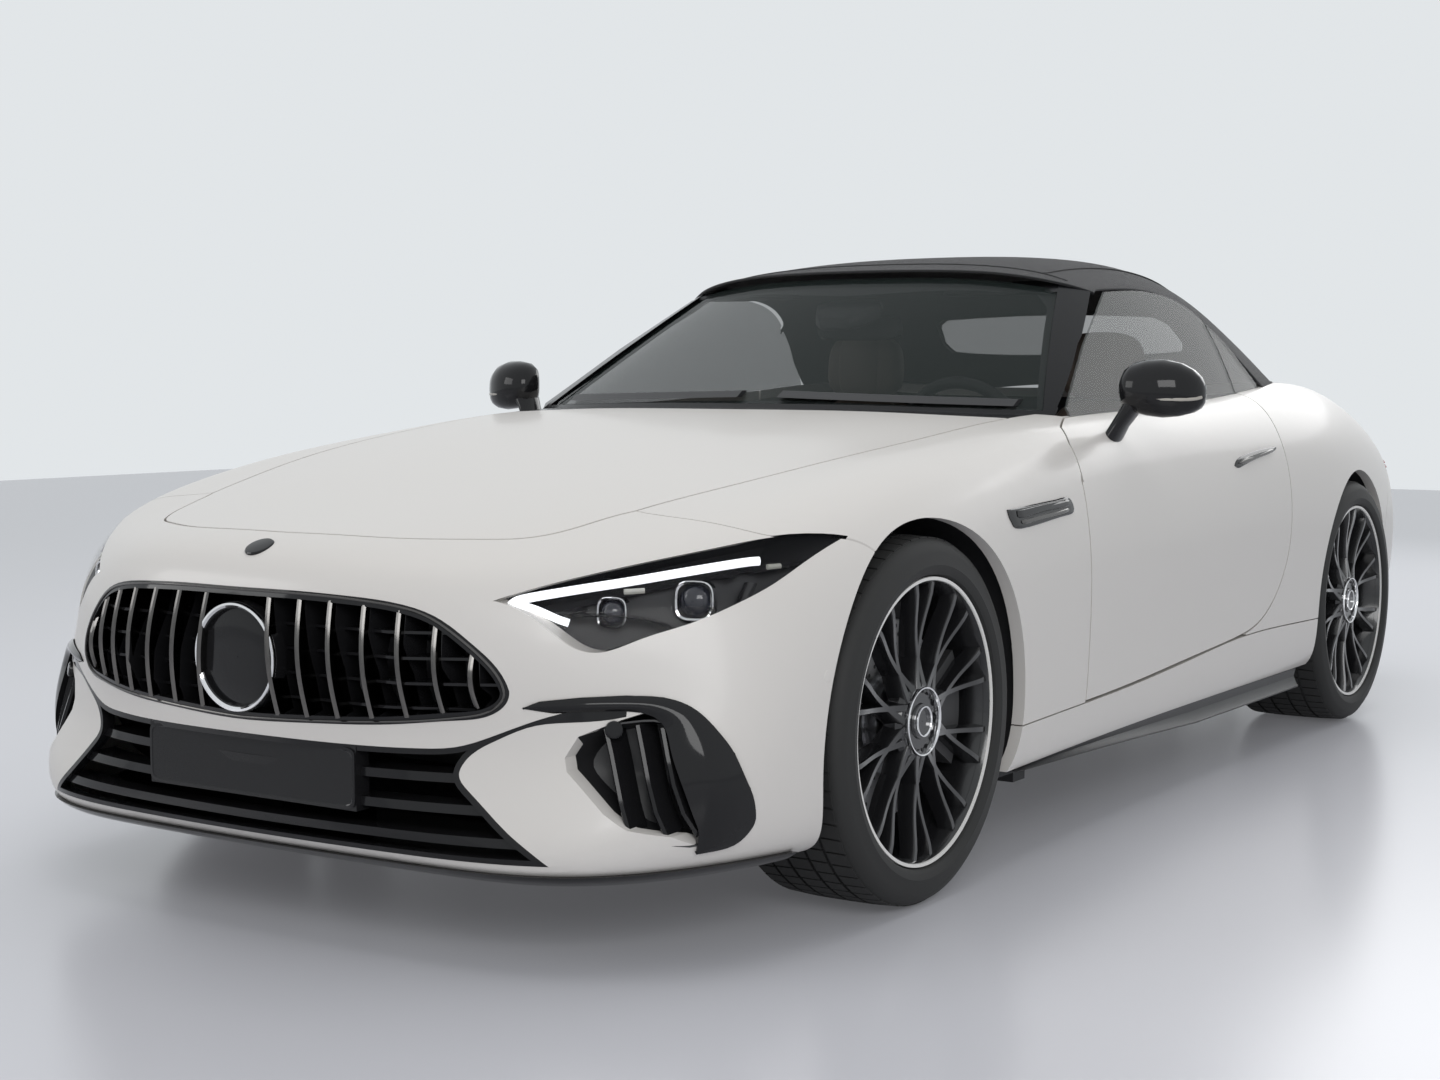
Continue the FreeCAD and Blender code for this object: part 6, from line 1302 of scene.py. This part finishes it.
# %% Lower panel and fins
TAIL_START = -HALF_LENGTH - 0.3
PANEL_HALF, PANEL_STEP = 690, 30
PANEL_HEIGHT = 372
FIN_SIDES = (-300, -180, -60, 60, 180, 300)
FIN_ROWS = ((322, 0.002, 2), (318, 0.014, 5), (262, 0.016, 5), (222, 0.002, 5), (214, -0.020, 2))
FIN_SECTION = ((0, -0.4), (0, 0.4), (0.006, 1), (0.050, 1), (0.050, -1), (0.006, -1))
tail_skin = skin_tree("rear_bumper")


def tail_reach(side, height=PANEL_HEIGHT):
    """How far back the bumper reaches at a side and a height."""
    return hit(tail_skin, Vector((TAIL_START, side / 1000, height / 1000)), FORWARD).x


panel_sides = range(-PANEL_HALF, PANEL_HALF + 1, PANEL_STEP)
reaches = [tail_reach(side) for side in panel_sides]
for _ in range(3):
    inner = [(a + 2 * b + c) / 4 for a, b, c in zip(reaches, reaches[1:], reaches[2:])]
    reaches = [reaches[0], *inner, reaches[-1]]
panel_rings = []
for side, reach in zip(panel_sides, reaches):
    edge = min(1.0, (PANEL_HALF + 12 - abs(side)) / 120)
    low = 0.212 + 0.09 * (1 - edge) ** 2
    shelf = max(low + 0.03, 0.270)
    section = ((0.012, 0.352), (0.006, 0.338), (0.010, shelf), (0.030, low + 0.006), (0.046, low),
               (0.060, low + 0.004), (0.044, shelf), (0.040, 0.352))
    panel_rings.append([Vector((reach + out, side / 1000, height)) for out, height in section])
show(mesh_of("tail_panel", rings_shape(panel_rings), satin_black))
fins = [rings_shape([[Vector((tail_reach(side) - back + out, (side + across * thick) / 1000, height / 1000))
                      for out, across in FIN_SECTION] for height, back, thick in FIN_ROWS])
        for side in FIN_SIDES]
show(mesh_of("tail_fins", joined(fins), gloss_black))

# %% Exhaust collars, lamp guides and rear plate
COLLAR = ((0.0480, -0.020), (0.0480, 0.004), (0.0500, 0.007), (0.0530, 0.004), (0.0530, -0.020))
TAIL_GUIDE = ((372, 4655, 782), (480, 4648, 780), (600, 4625, 772), (700, 4570, 760), (770, 4470, 744),
              (795, 4385, 734))
GUIDE_LIFT = 0.0006
quarter_turn = Matrix.Rotation(math.pi / 2, 4, "Z")
collars = []
for side in (-615, -505, 505, 615):
    place = Vector((tail_reach(side) + 0.006, side / 1000, 0.305))
    collars.append(moved(Matrix.Translation(place) @ quarter_turn, lathe(COLLAR, 48)))
show(mesh_of("tip_collars", joined(collars), dark_chrome))
lamp_tail_skin = skin_tree("tail_lamps")
guides = []
for up in (-9, 9):
    spots = [surface(lamp_tail_skin, at(station, side, height + up)) for side, station, height in TAIL_GUIDE]
    line = [place + normal * GUIDE_LIFT for place, normal in spots]
    guides.append(sweep(smooth_path(line), round_section(0.006, 0.004, 8)))
show_both(mesh_of("tail_guides_left", joined(guides), tail_bright))
rear_reach = min(tail_reach(side, height) for side in (-240, 0, 240) for height in (440, 500, 555))
plate("rear_plate_blank", Vector((rear_reach, 0, 0.500)), -FORWARD, (
    (0.510, 0.108, -0.050), (0.520, 0.118, -0.006), (0.520, 0.118, 0.0), (0.508, 0.106, 0.001),
    (0.504, 0.102, -0.001), (0.502, 0.100, -0.001)))

# %% [markdown]
# ## Driver's place
# The steering wheel is a padded rim with three spokes and a padded middle. The
# dashboard gets round vents, an instrument screen and a tall middle screen.

# %% Steering wheel
WHEEL_MIDDLE = Vector((0.2025, 0.385, 0.862))
WHEEL_TILT = math.radians(24)
WHEEL_PAD = ((0.001, 0.016), (0.030, 0.015), (0.048, 0.010), (0.055, 0.000), (0.052, -0.020), (0.001, -0.024))
WHEEL_DISC = ((0.001, 0.0185), (0.018, 0.018), (0.021, 0.0155), (0.021, 0.010), (0.001, 0.010))
COLUMN = ((0.001, -0.012), (0.030, -0.012), (0.030, -0.150), (0.001, -0.150))
wheel_frame = Matrix.Translation(WHEEL_MIDDLE) @ Matrix.Rotation(WHEEL_TILT, 4, "Y") @ quarter_turn
rim_section = [(0.160 + 0.0150 * math.cos(turn), 0.0165 * math.sin(turn)) for turn in turns(16)]
wheel_shapes = [lathe(rim_section), lathe(WHEEL_PAD, 48), lathe(COLUMN, 32)]
for turn, upward in ((0, UP), (math.pi, UP), (-math.pi / 2, FORWARD)):
    inner, outer = polar(0.045, turn, -0.006), polar(0.158, turn)
    line = [inner, inner.lerp(outer, 0.5), outer]
    wheel_shapes.append(sweep(line, round_section(0.020, 0.044, 16, 0.6), upward))
wheel_shape = moved(wheel_frame, joined(wheel_shapes))
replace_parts(show(mesh_of("steering_rim", wheel_shape, cabin_trim), "steering_wheel"), "steering_wheel")
show(mesh_of("steering_disc", moved(wheel_frame, lathe(WHEEL_DISC, 40)), dark_chrome), "steering_wheel")

# %% Dashboard
VENT_RING = ((0.030, -0.012), (0.032, 0.008), (0.036, 0.010), (0.040, 0.006), (0.041, -0.012))
VENT_BLADE = 0.031
SCREENS = ((385, 2075, 868, 0.300, 0.100), (0, 2120, 760, 0.200, 0.240))
SCREEN_TILT = math.radians(-14)
dash_skin = skin_tree("dashboard")
vent_blade = sweep([FORWARD * -VENT_BLADE, FORWARD * VENT_BLADE], round_section(0.006, 0.004, 8))
vent = joined([lathe(VENT_RING, 40), vent_blade])
vents = [moved(Matrix.Translation(hit(dash_skin, at(2400, side, 836), FORWARD)) @ quarter_turn, vent)
         for side in (-590, -110, 110, 590)]
show(mesh_of("dash_vents", joined(vents), dark_chrome))
screens = []
for side, station, height, width, tall in SCREENS:
    spot = hit(dash_skin, at(2500, side, height), FORWARD) - FORWARD * 0.012
    tilted = Matrix.Translation(spot) @ Matrix.Rotation(SCREEN_TILT, 4, "Y")
    rows = [(FORWARD * back, width - less, tall - less)
            for back, less in ((0.024, 0.0), (0.0, 0.0), (-0.002, 0.004))]
    screens.append(moved(tilted, upright_box(rows, 40, 0.2)))
show(mesh_of("dash_screens", joined(screens), dead_screen))
